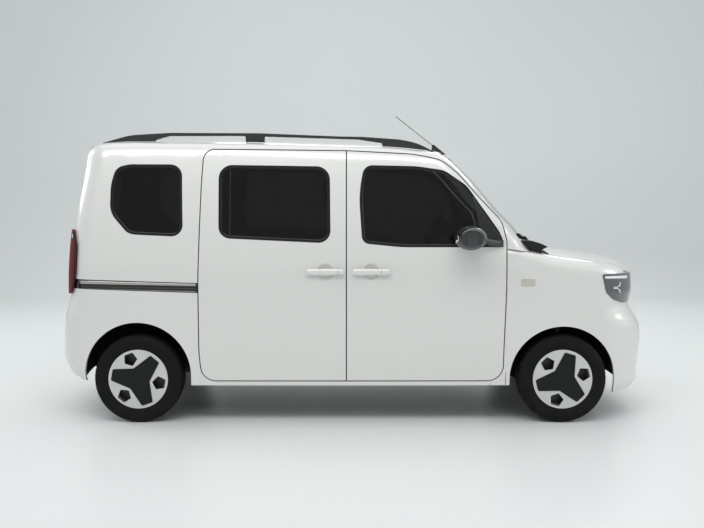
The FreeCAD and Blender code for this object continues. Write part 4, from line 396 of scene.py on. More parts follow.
def cloth(name, warp, weft, threads, depth):
    """A woven finish with the soft sheen of fibre ends."""
    mat, shader = material(name, roughness=0.85, sheen_weight=0.25, sheen_roughness=0.5)
    weave = use_group(mat, weave_group, warp=warp, weft=weft, threads=threads, depth=depth)
    return joined(mat, shader, weave)


# %% The car's finishes
paint = lacquered("pearl_white_paint", rgb(0.730, 0.727, 0.698), 0.36, flake=0.05, dust=0.03,
                  coat_weight=1.0, coat_roughness=0.04, metallic=0.15)
side_glass = clear("dark_side_glass", rgb(0.085, 0.085, 0.076), 0.0, ior=1.30)
front_glass = clear("clear_screen_glass", rgb(0.72, 0.77, 0.75), 0.0)
frit = grained("black_glass_border", rgb(0.004, 0.004, 0.004), 0.16, 1500.0, 0.03,
               specular_ior_level=0.4)
trim = grained("black_grained_trim", rgb(0.014, 0.014, 0.015), 0.58, 1100.0, 0.25, dust=0.10,
               specular_ior_level=0.3)
seal = grained("black_seal_rubber", rgb(0.006, 0.006, 0.006), 0.62, 700.0, 0.18,
               specular_ior_level=0.25)
rubber = grained("tyre_rubber", rgb(0.0045, 0.0048, 0.0048), 0.70, 420.0, 0.30, blotch=0.14,
                 dust=0.03, top=0.60, specular_ior_level=0.15)
rim_steel = lacquered("black_wheel_steel", rgb(0.022, 0.022, 0.024), 0.42, dust=0.20, coat_weight=0.2)
silver = lacquered("silver_cover_paint", rgb(0.60, 0.60, 0.585), 0.36, flake=0.08, dust=0.04,
                   metallic=0.35, coat_weight=0.4, coat_roughness=0.10)
blade_black = grained("charcoal_blade_plastic", rgb(0.0080, 0.0083, 0.0088), 0.50, 1300.0, 0.14,
                      specular_ior_level=0.22)
hole_black = grained("gloss_black_pocket", rgb(0.003, 0.003, 0.003), 0.20, 900.0, 0.03,
                     specular_ior_level=0.3)
chassis = grained("underbody_paint", rgb(0.022, 0.022, 0.023), 0.58, 260.0, 0.35, blotch=0.22, dust=0.30)
liner = grained("arch_liner_felt", rgb(0.007, 0.007, 0.007), 0.88, 620.0, 0.55, blotch=0.2, dust=0.08,
                specular_ior_level=0.2)
cast = grained("cast_alloy", rgb(0.42, 0.42, 0.43), 0.45, 520.0, 0.30, blotch=0.18, dust=0.35,
               metallic=0.9)
spring_paint = lacquered("black_spring_paint", rgb(0.020, 0.020, 0.021), 0.38, dust=0.25,
                         coat_weight=0.3)
gloss_black = lacquered("gloss_black_plastic", rgb(0.006, 0.006, 0.007), 0.12, flake=0.01,
                        coat_weight=0.8, coat_roughness=0.03)
grey_shell = grained("grey_mirror_shell", rgb(0.050, 0.053, 0.057), 0.38, 1200.0, 0.10)
corner_grey = grained("dark_corner_plastic", rgb(0.016, 0.017, 0.018), 0.50, 1200.0, 0.15,
                      specular_ior_level=0.35)
rail_black = lacquered("black_roof_rail", rgb(0.007, 0.007, 0.008), 0.26, flake=0.02, coat_weight=0.6)
cowl_black = grained("black_cowl_plastic", rgb(0.010, 0.010, 0.011), 0.60, 800.0, 0.30,
                     specular_ior_level=0.3)
dash_plastic = grained("soft_dash_plastic", rgb(0.040, 0.036, 0.033), 0.62, 950.0, 0.35)
lamp_red = lacquered("dark_red_lens", rgb(0.130, 0.006, 0.006), 0.42, flake=0.02, peel=0.03,
                     specular_ior_level=0.12)
lamp_smoke = lacquered("smoked_lens", rgb(0.085, 0.090, 0.093), 0.25, flake=0.02, peel=0.03,
                       coat_weight=1.0, coat_roughness=0.03)
# white light guides; the same white also makes the painted glint on the tail lamp
lamp_white = grained("white_light_guide_and_painted_glint", rgb(0.86, 0.87, 0.88), 0.22, 500.0, 0.04, blotch=0.03,
                     coat_weight=0.6)
lamp_clear = lacquered("clear_repeater_lens", rgb(0.52, 0.50, 0.42), 0.15, flake=0.10, scale=260.0,
                       coat_weight=1.0)
mirror_metal = lacquered("bright_reflector", rgb(0.80, 0.81, 0.82), 0.10, metallic=1.0, coat_weight=0.3)
track_bright = lacquered("bright_track_strip", rgb(0.42, 0.42, 0.40), 0.24, metallic=0.7,
                         coat_weight=0.3)
# painted shade: this dark olive finish stands for the shadow inside the slide track's groove
track_groove_shade = grained("painted_shade_in_track_groove", rgb(0.060, 0.056, 0.044), 0.42, 600.0, 0.10)
track_grey = lacquered("grey_track_lip", rgb(0.24, 0.24, 0.23), 0.30, metallic=0.5)
seat_cloth = cloth("brown_seat_cloth", rgb(0.150, 0.078, 0.042), rgb(0.230, 0.125, 0.070), 2600.0, 0.35)
print("materials", len(bpy.data.materials))

# %% Floor material
FLOOR_ROUGHNESS = 0.35
floor_mat, floor_shader = material("pale_floor", roughness=FLOOR_ROUGHNESS, specular_ior_level=0.3)
tile = use_group(floor_mat, grain_group, colour=rgb(0.84, 0.862, 0.850), scale=40.0, depth=0.0,
                 blotch=0.012, roughness=FLOOR_ROUGHNESS)
floor_tree = floor_mat.node_tree
floor_out = next(node for node in floor_tree.nodes if node.type == "OUTPUT_MATERIAL")
from_behind = put(floor_tree, "NewGeometry")
see_through = put(floor_tree, "BsdfTransparent")
either_side = put(floor_tree, "MixShader", fac=(from_behind, "Backfacing"), second=(floor_shader, "BSDF"),
                  third=(see_through, "BSDF"))
feed(floor_tree, floor_shader, base_color=(tile, "Colour"), roughness=(tile, "Roughness"))
feed(floor_tree, floor_out, surface=(either_side, "Shader"))
studio_floor.data.materials.append(floor_mat)
print("floor finish", floor_mat.name)

# %% [markdown]
# ## Which finish goes on which CAD piece
#
# The record says which slot each node takes its finish from. Nodes that keep their own mesh get
# the material here, in a table, and the ones that need smooth shading are welded in the next step.

# %% Finish table
FINISH_OF_SLOT = {
    "paint": paint, "glass": side_glass, "dark_trim": trim, "tyre": rubber, "wheel_steel": rim_steel,
    "cover_silver": silver, "chassis": chassis, "mirror_black": gloss_black, "lamp_red": lamp_red,
    "lamp_clear": lamp_clear, "liner": liner, "cast": cast, "seat_fabric": trim, "dash": dash_plastic,
    "rail_black": rail_black, "cowl": cowl_black}
slot_of = {}
for body in frame["record"]["behaviour"]["bodies"].values():
    for node in body:
        slot_of[node] = frame["nodes"][node].data.materials[0].name.split(".")[0]
for node, piece in frame["nodes"].items():
    for place in piece.material_slots:
        place.material = FINISH_OF_SLOT.get(slot_of[node], trim)
print(sorted(set(slot_of.values())))

# %% [markdown]
# ## Welded copies of the outer panels
#
# A CAD mesh arrives as loose triangles, so a glossy panel would show every facet. A copy with
# its doubles merged shares its vertices, and smooth shading with hard edges then follows the
# real curve. Weighted normals keep the large faces calm beside the narrow edge faces.

# %% Weld helper
HANDS = (("right", -1), ("left", 1))


def pair(name):
    """The names of a part on the right and on the left."""
    return [f"{name}_{hand}" for hand, _ in HANDS]


def fitted(piece, finish, body, node=None):
    """Gives a piece its finish and body, and hides the CAD node that it stands for, if there is one."""
    piece.data.materials.append(finish)
    if node:
        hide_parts(node)
    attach(piece, body)


def welded(node, finish):
    """A smooth copy of a CAD node that stands for it."""
    mesh = frame["nodes"][node].data.copy()
    mesh.name = node + "_skin"
    mesh.materials.clear()
    if "custom_normal" in mesh.attributes:
        mesh.attributes.remove(mesh.attributes["custom_normal"])
    piece = shown(mesh.name, mesh, merge=2e-5, angle=26.0, outwards=False)
    normals = piece.modifiers.new("calm normals", "WEIGHTED_NORMAL")
    normals.keep_sharp = True
    fitted(piece, finish, frame["nodes"][node]["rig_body"], node)
    return piece


# %% Panels, glass and trim that are welded
SMOOTH_NODES = {
    paint: [*pair("front_door"), *pair("sliding_door"), *pair("quarter_panel"), *pair("fender"), "roof_panel",
            "tailgate", "rear_bumper", "bonnet", "front_bumper", *pair("side_frame")],
    side_glass: [*pair("front_door_glass"), "sliding_door_glass", "quarter_glass", "tailgate_glass"],
    front_glass: ["windscreen"],
    rail_black: ["roof_rails", "antenna"],
    gloss_black: [*pair("mirror"), "slide_tracks"],
    lamp_red: ["tail_lamps"],
    lamp_smoke: ["headlamps"],
    silver: pair("front_wheel_cover") + pair("rear_wheel_cover"),
    rim_steel: pair("front_wheel") + pair("rear_wheel"),
    lamp_clear: ["side_repeaters"],
    cowl_black: ["cowl_panel", "cowl_end_caps", "wipers"],
    dash_plastic: ["dashboard", "steering_wheel"]}
skin = {node: welded(node, finish) for finish, nodes in SMOOTH_NODES.items() for node in nodes}
print("welded", len(skin), "pieces,", sum(len(p.data.polygons) for p in skin.values()), "triangles")

# %% [markdown]
# ## Wheel covers: one skin, three finishes
#
# The cover is silver, its three raised blades are charcoal and the five-sided pockets are gloss
# black. Separate objects would leave seams, so the welded skin gets three materials and each face
# is sorted by how far it stands above the silver dome.

# %% Sort the faces of the covers
COVER_RADIUS = 0.165
COVER_DOME = 0.009
COVER_SHEET = 0.004
BLADE_RISE = 0.0006
AXLE_HEIGHT = 0.246
AXLES = (("front", 1.150), ("rear", -1.210))


def read(items, what):
    """One property of all vertices or faces as an array with three columns."""
    values = np.zeros(len(items) * 3)
    items.foreach_get(what, values)
    return values.reshape(-1, 3)


def face_data(mesh):
    """Centres and normals of all faces."""
    return read(mesh.polygons, "center"), read(mesh.polygons, "normal")


def sort_cover(piece, axle_x, side):
    """Dome height is rim height plus dome times (1 - (r / R) squared); faces above it are blade."""
    mesh = piece.data
    mesh.materials.append(blade_black)
    mesh.materials.append(hole_black)
    centre, normal = face_data(mesh)
    out = side * centre[:, 1]
    radius = np.hypot(centre[:, 0] - axle_x, centre[:, 2] - AXLE_HEIGHT)
    back = min(side * corner[1] for corner in piece.bound_box)
    dome = back + COVER_SHEET + COVER_DOME * (1.0 - (radius / COVER_RADIUS) ** 2)
    blade = out > dome + BLADE_RISE
    wall = (np.abs(normal[:, 1]) < 0.5) & (radius < 0.95 * COVER_RADIUS) & ~blade
    index = np.where(blade, 1, np.where(wall, 2, 0)).astype(np.int32)
    mesh.polygons.foreach_set("material_index", index)
    print(piece.name, "blade faces", int(blade.sum()), "pocket faces", int(wall.sum()))


for where, axle_x in AXLES:
    for hand, side in HANDS:
        sort_cover(skin[f"{where}_wheel_cover_{hand}"], axle_x, side)

# %% [markdown]
# ## Tyres with a tread
#
# A tyre is its section turned about the axle. The section bulges at the wall, rounds at the
# shoulder and is nearly flat on the crown. Grooves are cut by making the radius smaller where a
# mask of angle and width says so, which keeps the whole tyre one closed grid.

# %% Tyre function
WHEEL_Y = 0.645
WALL_CONTROL = np.array([
    (0.1522, 0.0), (0.1522, 0.0585), (0.1545, 0.0612), (0.1610, 0.0632), (0.1700, 0.0662),
    (0.1715, 0.0674), (0.1840, 0.0700), (0.1960, 0.0718), (0.2070, 0.0723), (0.2160, 0.0716),
    (0.2170, 0.0706), (0.2250, 0.0682), (0.2345, 0.0640), (0.2412, 0.0588), (0.2445, 0.0520),
    (0.2456, 0.0400), (0.2459, 0.0200), (0.2460, 0.0)])
CROWN_RADIUS, CROWN_HALF = 0.236, 0.0600
TREAD_GROOVES = np.array([-0.0285, 0.0, 0.0285])
GROOVE_HALF, GROOVE_DEPTH = 0.0034, 0.0058
TREAD_BLOCKS = 58
BLOCK_SLANT = 26.0
CROSS_FROM, CROSS_DEPTH = 0.0300, 0.0042
SIPE_FROM, SIPE_TO, SIPE_DEPTH = 0.0060, 0.0240, 0.0020
TYRE_COLUMNS, TYRE_ROWS = 290, 56


def round_angles(count):
    """Angles at equal steps through a full turn, without the one that would repeat the first."""
    return np.linspace(0.0, 2.0 * math.pi, count, endpoint=False)


def even_steps(line, count):
    """A polyline resampled at equal steps of its length."""
    step = np.concatenate([[0.0], np.cumsum(np.linalg.norm(np.diff(line, axis=0), axis=1))])
    at = np.linspace(0.0, step[-1], count)
    return np.stack([np.interp(at, step, line[:, k]) for k in range(line.shape[1])], axis=-1)


def dressed_tyre(name, node, axle_x, wheel_y):
    """Point = axle + (r cos a, w, r sin a); r is the section's radius less depth times the groove mask."""
    half = even_steps(WALL_CONTROL, TYRE_ROWS)
    section = np.concatenate([half, (half * [1.0, -1.0])[::-1][1:-1]])
    radius, width = section[:, 0][:, None], section[:, 1][:, None]
    angle = round_angles(TYRE_COLUMNS)[None, :]
    off = np.abs(width)
    crown = (radius > CROWN_RADIUS) & (off < CROWN_HALF)
    ring = np.min(np.abs(width[:, :, None] - TREAD_GROOVES), axis=-1) < GROOVE_HALF
    slant = (angle * TREAD_BLOCKS / (2.0 * math.pi) + BLOCK_SLANT * off) % 1.0
    cross = (slant < 0.20) & (off > CROSS_FROM)
    sipe = ((slant + 0.5) % 1.0 < 0.10) & (off < SIPE_TO) & (off > SIPE_FROM)
    depth = crown * (GROOVE_DEPTH * ring + (~ring) * (CROSS_DEPTH * cross + SIPE_DEPTH * sipe))
    r = radius - depth
    points = np.stack([axle_x + r * np.cos(angle), wheel_y + np.broadcast_to(width, r.shape),
                       AXLE_HEIGHT + r * np.sin(angle)], axis=-1)
    piece = grid_piece(name, points, round_rows=True, round_columns=True)
    fitted(piece, rubber, frame["nodes"][node]["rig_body"], node)
    print(name, len(piece.data.polygons), "faces")


for where, axle_x in AXLES:
    for hand, side in HANDS:
        dressed_tyre(f"tyre_{where}_{hand}", f"{where}_tyre_{hand}", axle_x, side * WHEEL_Y)

# %% [markdown]
# ## Thin pieces laid on a curved panel
#
# Window borders, lamp strips and seals follow the surface under them. Each is drawn flat as seen
# from the side, pushed along one axis until it meets the panel with a Shrinkwrap modifier, and
# thickened with Solidify. Both are applied, so the finished piece carries no link to the panel.
# The drawings are in millimetres.

# %% Outline helpers
MM = 0.001


def rounded_loop(corners, radii, steps=9):
    """A closed outline with an arc at each corner, tangent to both sides; it is given in millimetres."""
    point = np.asarray(corners, float) * MM
    to_last = np.roll(point, 1, axis=0) - point
    to_next = np.roll(point, -1, axis=0) - point
    long_last = np.linalg.norm(to_last, axis=1)
    long_next = np.linalg.norm(to_next, axis=1)
    to_last /= long_last[:, None]
    to_next /= long_next[:, None]
    half = 0.5 * np.arccos(np.clip((to_last * to_next).sum(1), -1.0, 1.0))
    reach = np.minimum(np.asarray(radii, float) * MM / np.tan(half), 0.48 * np.minimum(long_last, long_next))
    radius = reach * np.tan(half)
    middle = to_last + to_next
    middle /= np.linalg.norm(middle, axis=1)[:, None]
    centre = point + middle * (radius / np.sin(half))[:, None]
    first = point + to_last * reach[:, None] - centre
    last = point + to_next * reach[:, None] - centre
    a = np.arctan2(first[:, 1], first[:, 0])
    turn_by = (np.arctan2(last[:, 1], last[:, 0]) - a + math.pi) % (2.0 * math.pi) - math.pi
    angle = a[:, None] + turn_by[:, None] * np.linspace(0.0, 1.0, steps)[None, :]
    arc = np.stack([np.cos(angle), np.sin(angle)], axis=-1) * radius[:, None, None]
    return (centre[:, None, :] + arc).reshape(-1, 2)


def closed_steps(loop, count):
    """A closed outline resampled at equal steps of its length."""
    return even_steps(np.vstack([loop, loop[:1]]), count + 1)[:-1]


def inset_loop(loop, distance):
    """Each point moves inwards across the line through its neighbours."""
    ahead = np.roll(loop, -1, axis=0) - np.roll(loop, 1, axis=0)
    across = np.stack([-ahead[:, 1], ahead[:, 0]], axis=-1)
    across /= np.linalg.norm(across, axis=1)[:, None] + 1e-12
    area = 0.5 * np.sum(loop[:, 0] * np.roll(loop[:, 1], -1) - loop[:, 1] * np.roll(loop[:, 0], -1))
    return loop + across * distance * math.copysign(1.0, area)


def band(loop, outer, inner, rows=4, count=220):
    """A flat ring between two insets of a closed outline."""
    closed = closed_steps(loop, count)
    return np.stack([inset_loop(closed, d) for d in np.linspace(outer, inner, rows)])


def strip(lower, upper, rows=4, columns=60):
    """A flat patch, given in millimetres: straight lines from a lower edge to an upper edge."""
    low = even_steps(np.array(lower, float) * MM, columns)
    high = even_steps(np.array(upper, float) * MM, columns)
    share = np.linspace(0.0, 1.0, rows)[:, None, None]
    return low[None] * (1.0 - share) + high[None] * share


# %% Lay a flat drawing on a surface
START_OUT = (2.2, 1.2)
BODY_PAIR = ("body", "body")


def baked(piece):
    """The mesh with its modifiers, as a new mesh."""
    bpy.context.view_layer.update()
    return bpy.data.meshes.new_from_object(piece.evaluated_get(bpy.context.evaluated_depsgraph_get()))


def applied(piece):
    """Works the modifiers into the piece's own mesh, without its target's materials."""
    mesh = baked(piece)
    piece.modifiers.clear()
    piece.data = mesh
    mesh.name = piece.name
    mesh.materials.clear()


def drop_past(piece, axis, limit):
    """Takes away the vertices that found no surface and stayed further out than the limit."""
    work = bmesh.new()
    work.from_mesh(piece.data)
    lost = [vertex for vertex in work.verts if abs(vertex.co[axis]) > limit]
    if lost:
        print(piece.name, "loses", len(lost), "of", len(work.verts), "points past the edge of its target")
        bmesh.ops.delete(work, geom=lost, context="VERTS")
        work.to_mesh(piece.data)
    work.free()


def laid_on(name, flat, target, finish, body, slot, side=-1, axis=1, thick=0.0006, ring=False):
    """The drawing starts far out on one axis, moves along it to the target, then gets its thickness."""
    far = START_OUT[axis]
    plane = np.full(flat.shape[:2], side * far)
    order = (flat[..., 0], plane, flat[..., 1]) if axis == 1 else (plane, flat[..., 0], flat[..., 1])
    piece = grid_piece(name, np.stack(order, axis=-1), round_columns=ring)
    outward = np.zeros(3)
    outward[axis] = side
    if face_data(piece.data)[1].mean(0) @ outward < 0:
        piece.data.flip_normals()
    press = piece.modifiers.new("press", "SHRINKWRAP")
    press.wrap_method = "PROJECT"
    press.target = target
    press.use_project_x, press.use_project_y, press.use_project_z = axis == 0, axis == 1, False
    press.use_negative_direction, press.use_positive_direction = side > 0, side < 0
    applied(piece)
    drop_past(piece, axis, far - 0.01)
    sheet = piece.modifiers.new("thickness", "SOLIDIFY")
    sheet.thickness = thick
    sheet.offset = 1.0
    applied(piece)
    fitted(piece, finish, body)


def both_sides(name, flat, nodes, finish, slot, bodies=BODY_PAIR, **more):
    """The same drawing on the right and the left of the car, each on the skin of its node."""
    for (hand, side), node, body in zip(HANDS, nodes, bodies):
        laid_on(f"{name}_{hand}", flat, skin[node], finish, body, slot, side=side, **more)


# %% [markdown]
# ## Black borders and seals round the panes
#
# Each pane is bonded behind a printed black border and sits in a thin rubber seal. The border
# hides the glue and is what makes the window look deeper than its tint.

# %% Side windows
PRINT_THICK, SEAL_THICK = 0.0004, 0.0026
BORDER_INSETS = (0.0025, 0.0170)
SEAL_INSETS = (0.0012, 0.0052)
DOORS = pair("front_door")
WINDOWS = {
    "front_door": ([(34.9, 1003.0), (17.2, 1273.6), (45.5, 1432.8), (335.8, 1426.4), (489.2, 1404.1),
                    (611.9, 1319.8), (798.4, 1054.7), (819.6, 981.5), (253.2, 981.5)],
                   [46, 700, 56, 500, 120, 160, 300, 22, 900], pair("front_door_glass"), DOORS),
    "sliding_door": ([(-754.5, 1031.6), (-756.9, 1434.4), (-143.3, 1424.8), (-138.6, 1003.0)],
                     [66, 76, 76, 66], ["sliding_door_glass"] * 2, BODY_PAIR),
    "quarter": ([(-1246.6, 1437.6), (-959.8, 1436.0), (-950.4, 1038.0), (-1224.6, 1050.7),
                 (-1258.8, 1061.9), (-1354.8, 1170.1), (-1352.3, 1329.3), (-1324.6, 1421.7)],
                [120, 66, 62, 300, 150, 130, 300, 120], ["quarter_glass"] * 2, BODY_PAIR)}
for where, (corners, bends, nodes, bodies) in WINDOWS.items():
    loop = rounded_loop(corners, bends)
    both_sides(f"{where}_border", band(loop, *BORDER_INSETS), nodes, frit, "glass", bodies, ring=True,
               thick=PRINT_THICK)
    both_sides(f"{where}_seal", band(loop, *SEAL_INSETS, rows=3), nodes, seal, "dark_trim", bodies,
               ring=True, thick=SEAL_THICK)
print("window bands", 4 * len(WINDOWS))

# %% Windscreen, tailgate and mirror glass
END_INSETS = (0.004, 0.038)
MIRROR_FROM_Y = 0.79
MIRROR_GLASS_SHARE = 0.74


def outer_loop(piece, turns=360):
    """Seen along X: for each direction the point that reaches furthest along it, joined in order."""
    flat = read(piece.data.vertices, "co")[:, 1:]
    angle = round_angles(turns)
    furthest = np.argmax(flat @ np.stack([np.cos(angle), np.sin(angle)]), axis=0)
    return flat[furthest[furthest != np.roll(furthest, 1)]]


for pane, side, body in (("windscreen", 1, "body"), ("tailgate_glass", -1, "tailgate")):
    laid_on(f"{pane}_border", band(outer_loop(skin[pane]), *END_INSETS, count=260), skin[pane], frit, body,
            "glass", side=side, axis=0, thick=PRINT_THICK, ring=True)
circle = np.stack([np.cos(round_angles(96)), np.sin(round_angles(96))], axis=-1)
for hand, _ in HANDS:
    shell = skin[f"mirror_{hand}"]
    centre, normal = face_data(shell.data)
    back = centre[(normal[:, 0] < -0.8) & (np.abs(centre[:, 1]) > MIRROR_FROM_Y), 1:]
    middle, half = 0.5 * (back.max(0) + back.min(0)), 0.5 * (back.max(0) - back.min(0))
    pane = middle + half * np.linspace(0.01, MIRROR_GLASS_SHARE, 12)[:, None, None] * circle
    laid_on(f"mirror_glass_{hand}", pane, shell, mirror_metal, f"front_door_{hand}", "mirror_black", axis=0,
            thick=0.0010, ring=True)
    print("mirror glass", hand, "half size", np.round(half * MIRROR_GLASS_SHARE, 3))

# %% [markdown]
# ## Lamps
#
# The head lamp is a smoked lens with a bright strip along its top and a small three-armed light
# below it. The tail lamp is dark red, black along its front edge, with a small white patch near its
# top rear corner that is a painted glint. Strips under one millimetre thick, laid on the lens, show
# the same thing as parts sealed behind it and keep the lens simple.

# %% Head lamp strips
HEADLAMPS = ["headlamps"] * 2
both_sides("day_light_strip", strip([(1381, 806), (1440, 804), (1500, 801), (1532, 799)],
                                    [(1379, 818), (1440, 818), (1500, 816), (1532, 814)]),
           HEADLAMPS, lamp_white, "lamp_clear", thick=0.0008)
ARMS = {
    "rear_upper": ([(1434, 753.5), (1462, 752.5)], [(1434, 757.5), (1462, 756.5)]),
    "rear_lower": ([(1434, 746.5), (1462, 745.5)], [(1434, 750.5), (1462, 749.5)]),
    "up": ([(1458, 753), (1478, 761), (1483, 781)], [(1458, 757.5), (1472, 764), (1477, 781)]),
    "down": ([(1458, 745), (1472, 738), (1477, 721)], [(1458, 749.5), (1478, 741), (1483, 721)])}
for arm, (lower, upper) in ARMS.items():
    both_sides(f"marker_light_{arm}", strip(lower, upper, rows=3, columns=14), HEADLAMPS, lamp_white,
               "lamp_clear", thick=0.0007)
print("marker light arms", len(ARMS))

# %% Tail lamp edge and painted glint
TAIL_LAMPS = ["tail_lamps"] * 2
TAIL_EDGE_WIDTH = 18
TAIL_EDGE = [(-1568.5, 742), (-1559, 770), (-1548, 830), (-1543, 900), (-1540, 985), (-1549, 1020),
             (-1563, 1064)]
tail_edge_back = [(x - TAIL_EDGE_WIDTH, z) for x, z in TAIL_EDGE]
both_sides("tail_lamp_edge", strip(TAIL_EDGE, tail_edge_back, rows=10, columns=90), TAIL_LAMPS, seal,
           "lamp_red", thick=0.0006)
# painted glint: the small white patch near the top rear corner stands for a highlight on the red lens
both_sides("tail_lamp_painted_glint", strip([(-1583, 1030), (-1576, 1028)], [(-1580, 1052), (-1574, 1050)], columns=5),
           TAIL_LAMPS, lamp_white, "lamp_clear", thick=0.0008)
print("tail lamp edge", TAIL_EDGE_WIDTH, "mm wide")

# %% [markdown]
# ## Slide track and small side details
#
# The rear door hangs on a rail let into the side: a black channel with a bright upper strip, a
# dark strip of painted shade where the groove lies in shadow, and a grey lower lip, which stop short
# of the channel's bare rear end. The same laid strips make the seams at the caps of the door
# handles, the seam in the sill and the dark corner piece that carries the mirror.

# %% Track, handle caps and seams
TRACK_LINES = {
    "track_upper_strip": ([(-1530, 779.5), (-870, 767.6)], [(-1530, 797.5), (-870, 779.9)], track_bright),
    # the groove strip is painted shade: a flat dark band where the recessed groove lies in shadow
    "track_groove": ([(-1528, 759.5), (-870, 745.2)], [(-1528, 771), (-870, 760.5)], track_groove_shade),
    "track_lower_lip": ([(-1530, 754), (-870, 733.6)], [(-1530, 754.8), (-870, 738.8)], track_grey)}
for name, (lower, upper, finish) in TRACK_LINES.items():
    both_sides(name, strip(lower, upper), ["slide_tracks"] * 2, finish, "wheel_steel", thick=0.0005)
SEAMS = {
    "handle_cap_seam_front": ("front_door", [(139.2, 831), (140.6, 831)], [(139.2, 864), (140.6, 864)]),
    "handle_cap_seam_rear": ("sliding_door", [(-98.7, 831), (-97.3, 831)], [(-98.7, 866), (-97.3, 866)]),
    "sill_seam": ("side_frame", [(743.0, 214.5), (744.6, 214.5)], [(748.0, 231.5), (749.6, 231.5)])}
for name, (panel, lower, upper) in SEAMS.items():
    both_sides(name, strip(lower, upper, rows=16, columns=2), pair(panel), seal, "dark_trim",
               DOORS if panel == "front_door" else BODY_PAIR, thick=0.0003)
both_sides("mirror_corner_piece", strip([(686, 988), (680, 1060), (668, 1150), (640, 1258)],
                                        [(812, 988), (788, 1052), (716, 1155), (650, 1258)],
                                        rows=14, columns=40),
           pair("front_door_glass"), corner_grey, "mirror_black", DOORS, thick=0.0030)
print("track and seams laid")

# %% [markdown]
# ## Door mirrors
#
# The shell is gloss black on top and grey below, where the arm joins it, and its rear face is
# the glass. The welded skin is sorted by a slanted plane, and a bright pane is laid on the back.

# %% Two finishes on each mirror
SPLIT_Y, SPLIT_HEIGHT, SPLIT_SLOPE = 0.83, 1.060, 0.35
for hand, side in HANDS:
    mesh = skin[f"mirror_{hand}"].data
    mesh.materials.append(grey_shell)
    centre, _ = face_data(mesh)
    grey = centre[:, 2] < SPLIT_HEIGHT + SPLIT_SLOPE * (SPLIT_Y - side * centre[:, 1])
    mesh.polygons.foreach_set("material_index", grey.astype(np.int32))
    print("mirror", hand, "grey faces", int(grey.sum()))

# %% [markdown]
# ## Seats
#
# A seat is a pan, a base cushion, a back and a head rest on two rods. Each cushion starts as its
# section carried across the seat, a little small, is remeshed into even cells and is then blown
# up by the cloth solver for twenty frames. Sewn channels are pressed in afterwards.

# %% Cushion helpers
CELL = 0.011
AIR_PRESSURE = 4.0
AIR_FRAMES = 20
END_SHARE = 0.75


def block(name, profile, bends, rise, middle, half_width, rounding, rows=26, count=110):
    """The section (x, z), raised with its seat, is carried along Y and drawn in near both ends."""
    closed = closed_steps(rounded_loop(np.array(profile) + [0.0, rise], bends), count)
    t = np.sin(np.linspace(-0.5 * math.pi, 0.5 * math.pi, rows))
    near_end = np.clip((np.abs(t) * half_width - half_width + rounding) / rounding, 0.0, 1.0)
    draw_in = rounding * (1.0 - np.sqrt(1.0 - near_end ** 2)) * END_SHARE
    sections = np.stack([inset_loop(closed, d) for d in draw_in])
    y = np.broadcast_to((middle + half_width * t)[:, None], sections.shape[:2])
    points = np.stack([sections[..., 0], y, sections[..., 1]], axis=-1)
    return grid_piece(name, points, round_columns=True, caps=True)


def puffed(piece, cap):
    """Even cells, twenty frames of air pressure without gravity, and no point moves further than the cap."""
    remesh = piece.modifiers.new("even cells", "REMESH")
    remesh.mode = "VOXEL"
    remesh.voxel_size = CELL
    applied(piece)
    start = read(piece.data.vertices, "co")
    air = piece.modifiers.new("air", "CLOTH")
    air.settings.use_pressure = True
    air.settings.uniform_pressure_force = AIR_PRESSURE
    air.settings.effector_weights.gravity = 0.0
    air.settings.quality = 4
    for moment in range(1, AIR_FRAMES + 1):
        bpy.context.scene.frame_set(moment)
    move = read(baked(piece).vertices, "co") - start
    piece.modifiers.clear()
    length = np.linalg.norm(move, axis=1)[:, None]
    start = start + move * np.minimum(1.0, cap / np.maximum(length, 1e-9))
    bpy.context.scene.frame_set(1)
    piece.data.vertices.foreach_set("co", start.ravel())
    piece.data.update()


def sewn(piece, channels, depth=0.007, wide=0.007):
    """Each channel is a plane: points within a few millimetres go in along the normal by a bell curve."""
    mesh = piece.data
    place = read(mesh.vertices, "co")
    normal = read(mesh.vertex_normals, "vector")
    press = np.zeros(len(place))
    for axis, at_value in channels:
        press = np.maximum(press, np.exp(-((place[:, axis] - at_value) / wide) ** 2))
    mesh.vertices.foreach_set("co", (place - normal * (depth * press)[:, None]).ravel())
    mesh.update()


def finished_cushion(piece, node):
    """One subdivision, smooth faces, its cloth, and what it stands for."""
    finer = piece.modifiers.new("finer", "SUBSURF")
    finer.levels = finer.render_levels = 1
    piece.data.materials.clear()
    piece.data.polygons.foreach_set("use_smooth", np.ones(len(piece.data.polygons), bool))
    fitted(piece, seat_cloth, "body", node)


def other_side(piece, node, name):
    """The same cushion mirrored in Y, with its faces turned back outwards."""
    mesh = piece.data.copy()
    mesh.name = name
    mesh.vertices.foreach_set("co", (read(mesh.vertices, "co") * [1.0, -1.0, 1.0]).ravel())
    mesh.flip_normals()
    twin = bpy.data.objects.new(name, mesh)
    SCENE.objects.link(twin)
    finished_cushion(twin, node)


def cushion(part, node, rise, middle, profile, bends, half_width, cap, channels=(), rounding=0.05, fill=0.7):
    """A cushion on the right and its mirrored twin on the left."""
    piece = block(f"{part}_right", profile, bends, rise, middle, half_width, rounding)
    puffed(piece, cap)
    sewn(piece, channels)
    finished_cushion(piece, node)
    other_side(piece, node, f"{part}_left")
    print(part, len(piece.data.polygons), "faces before the subdivision")


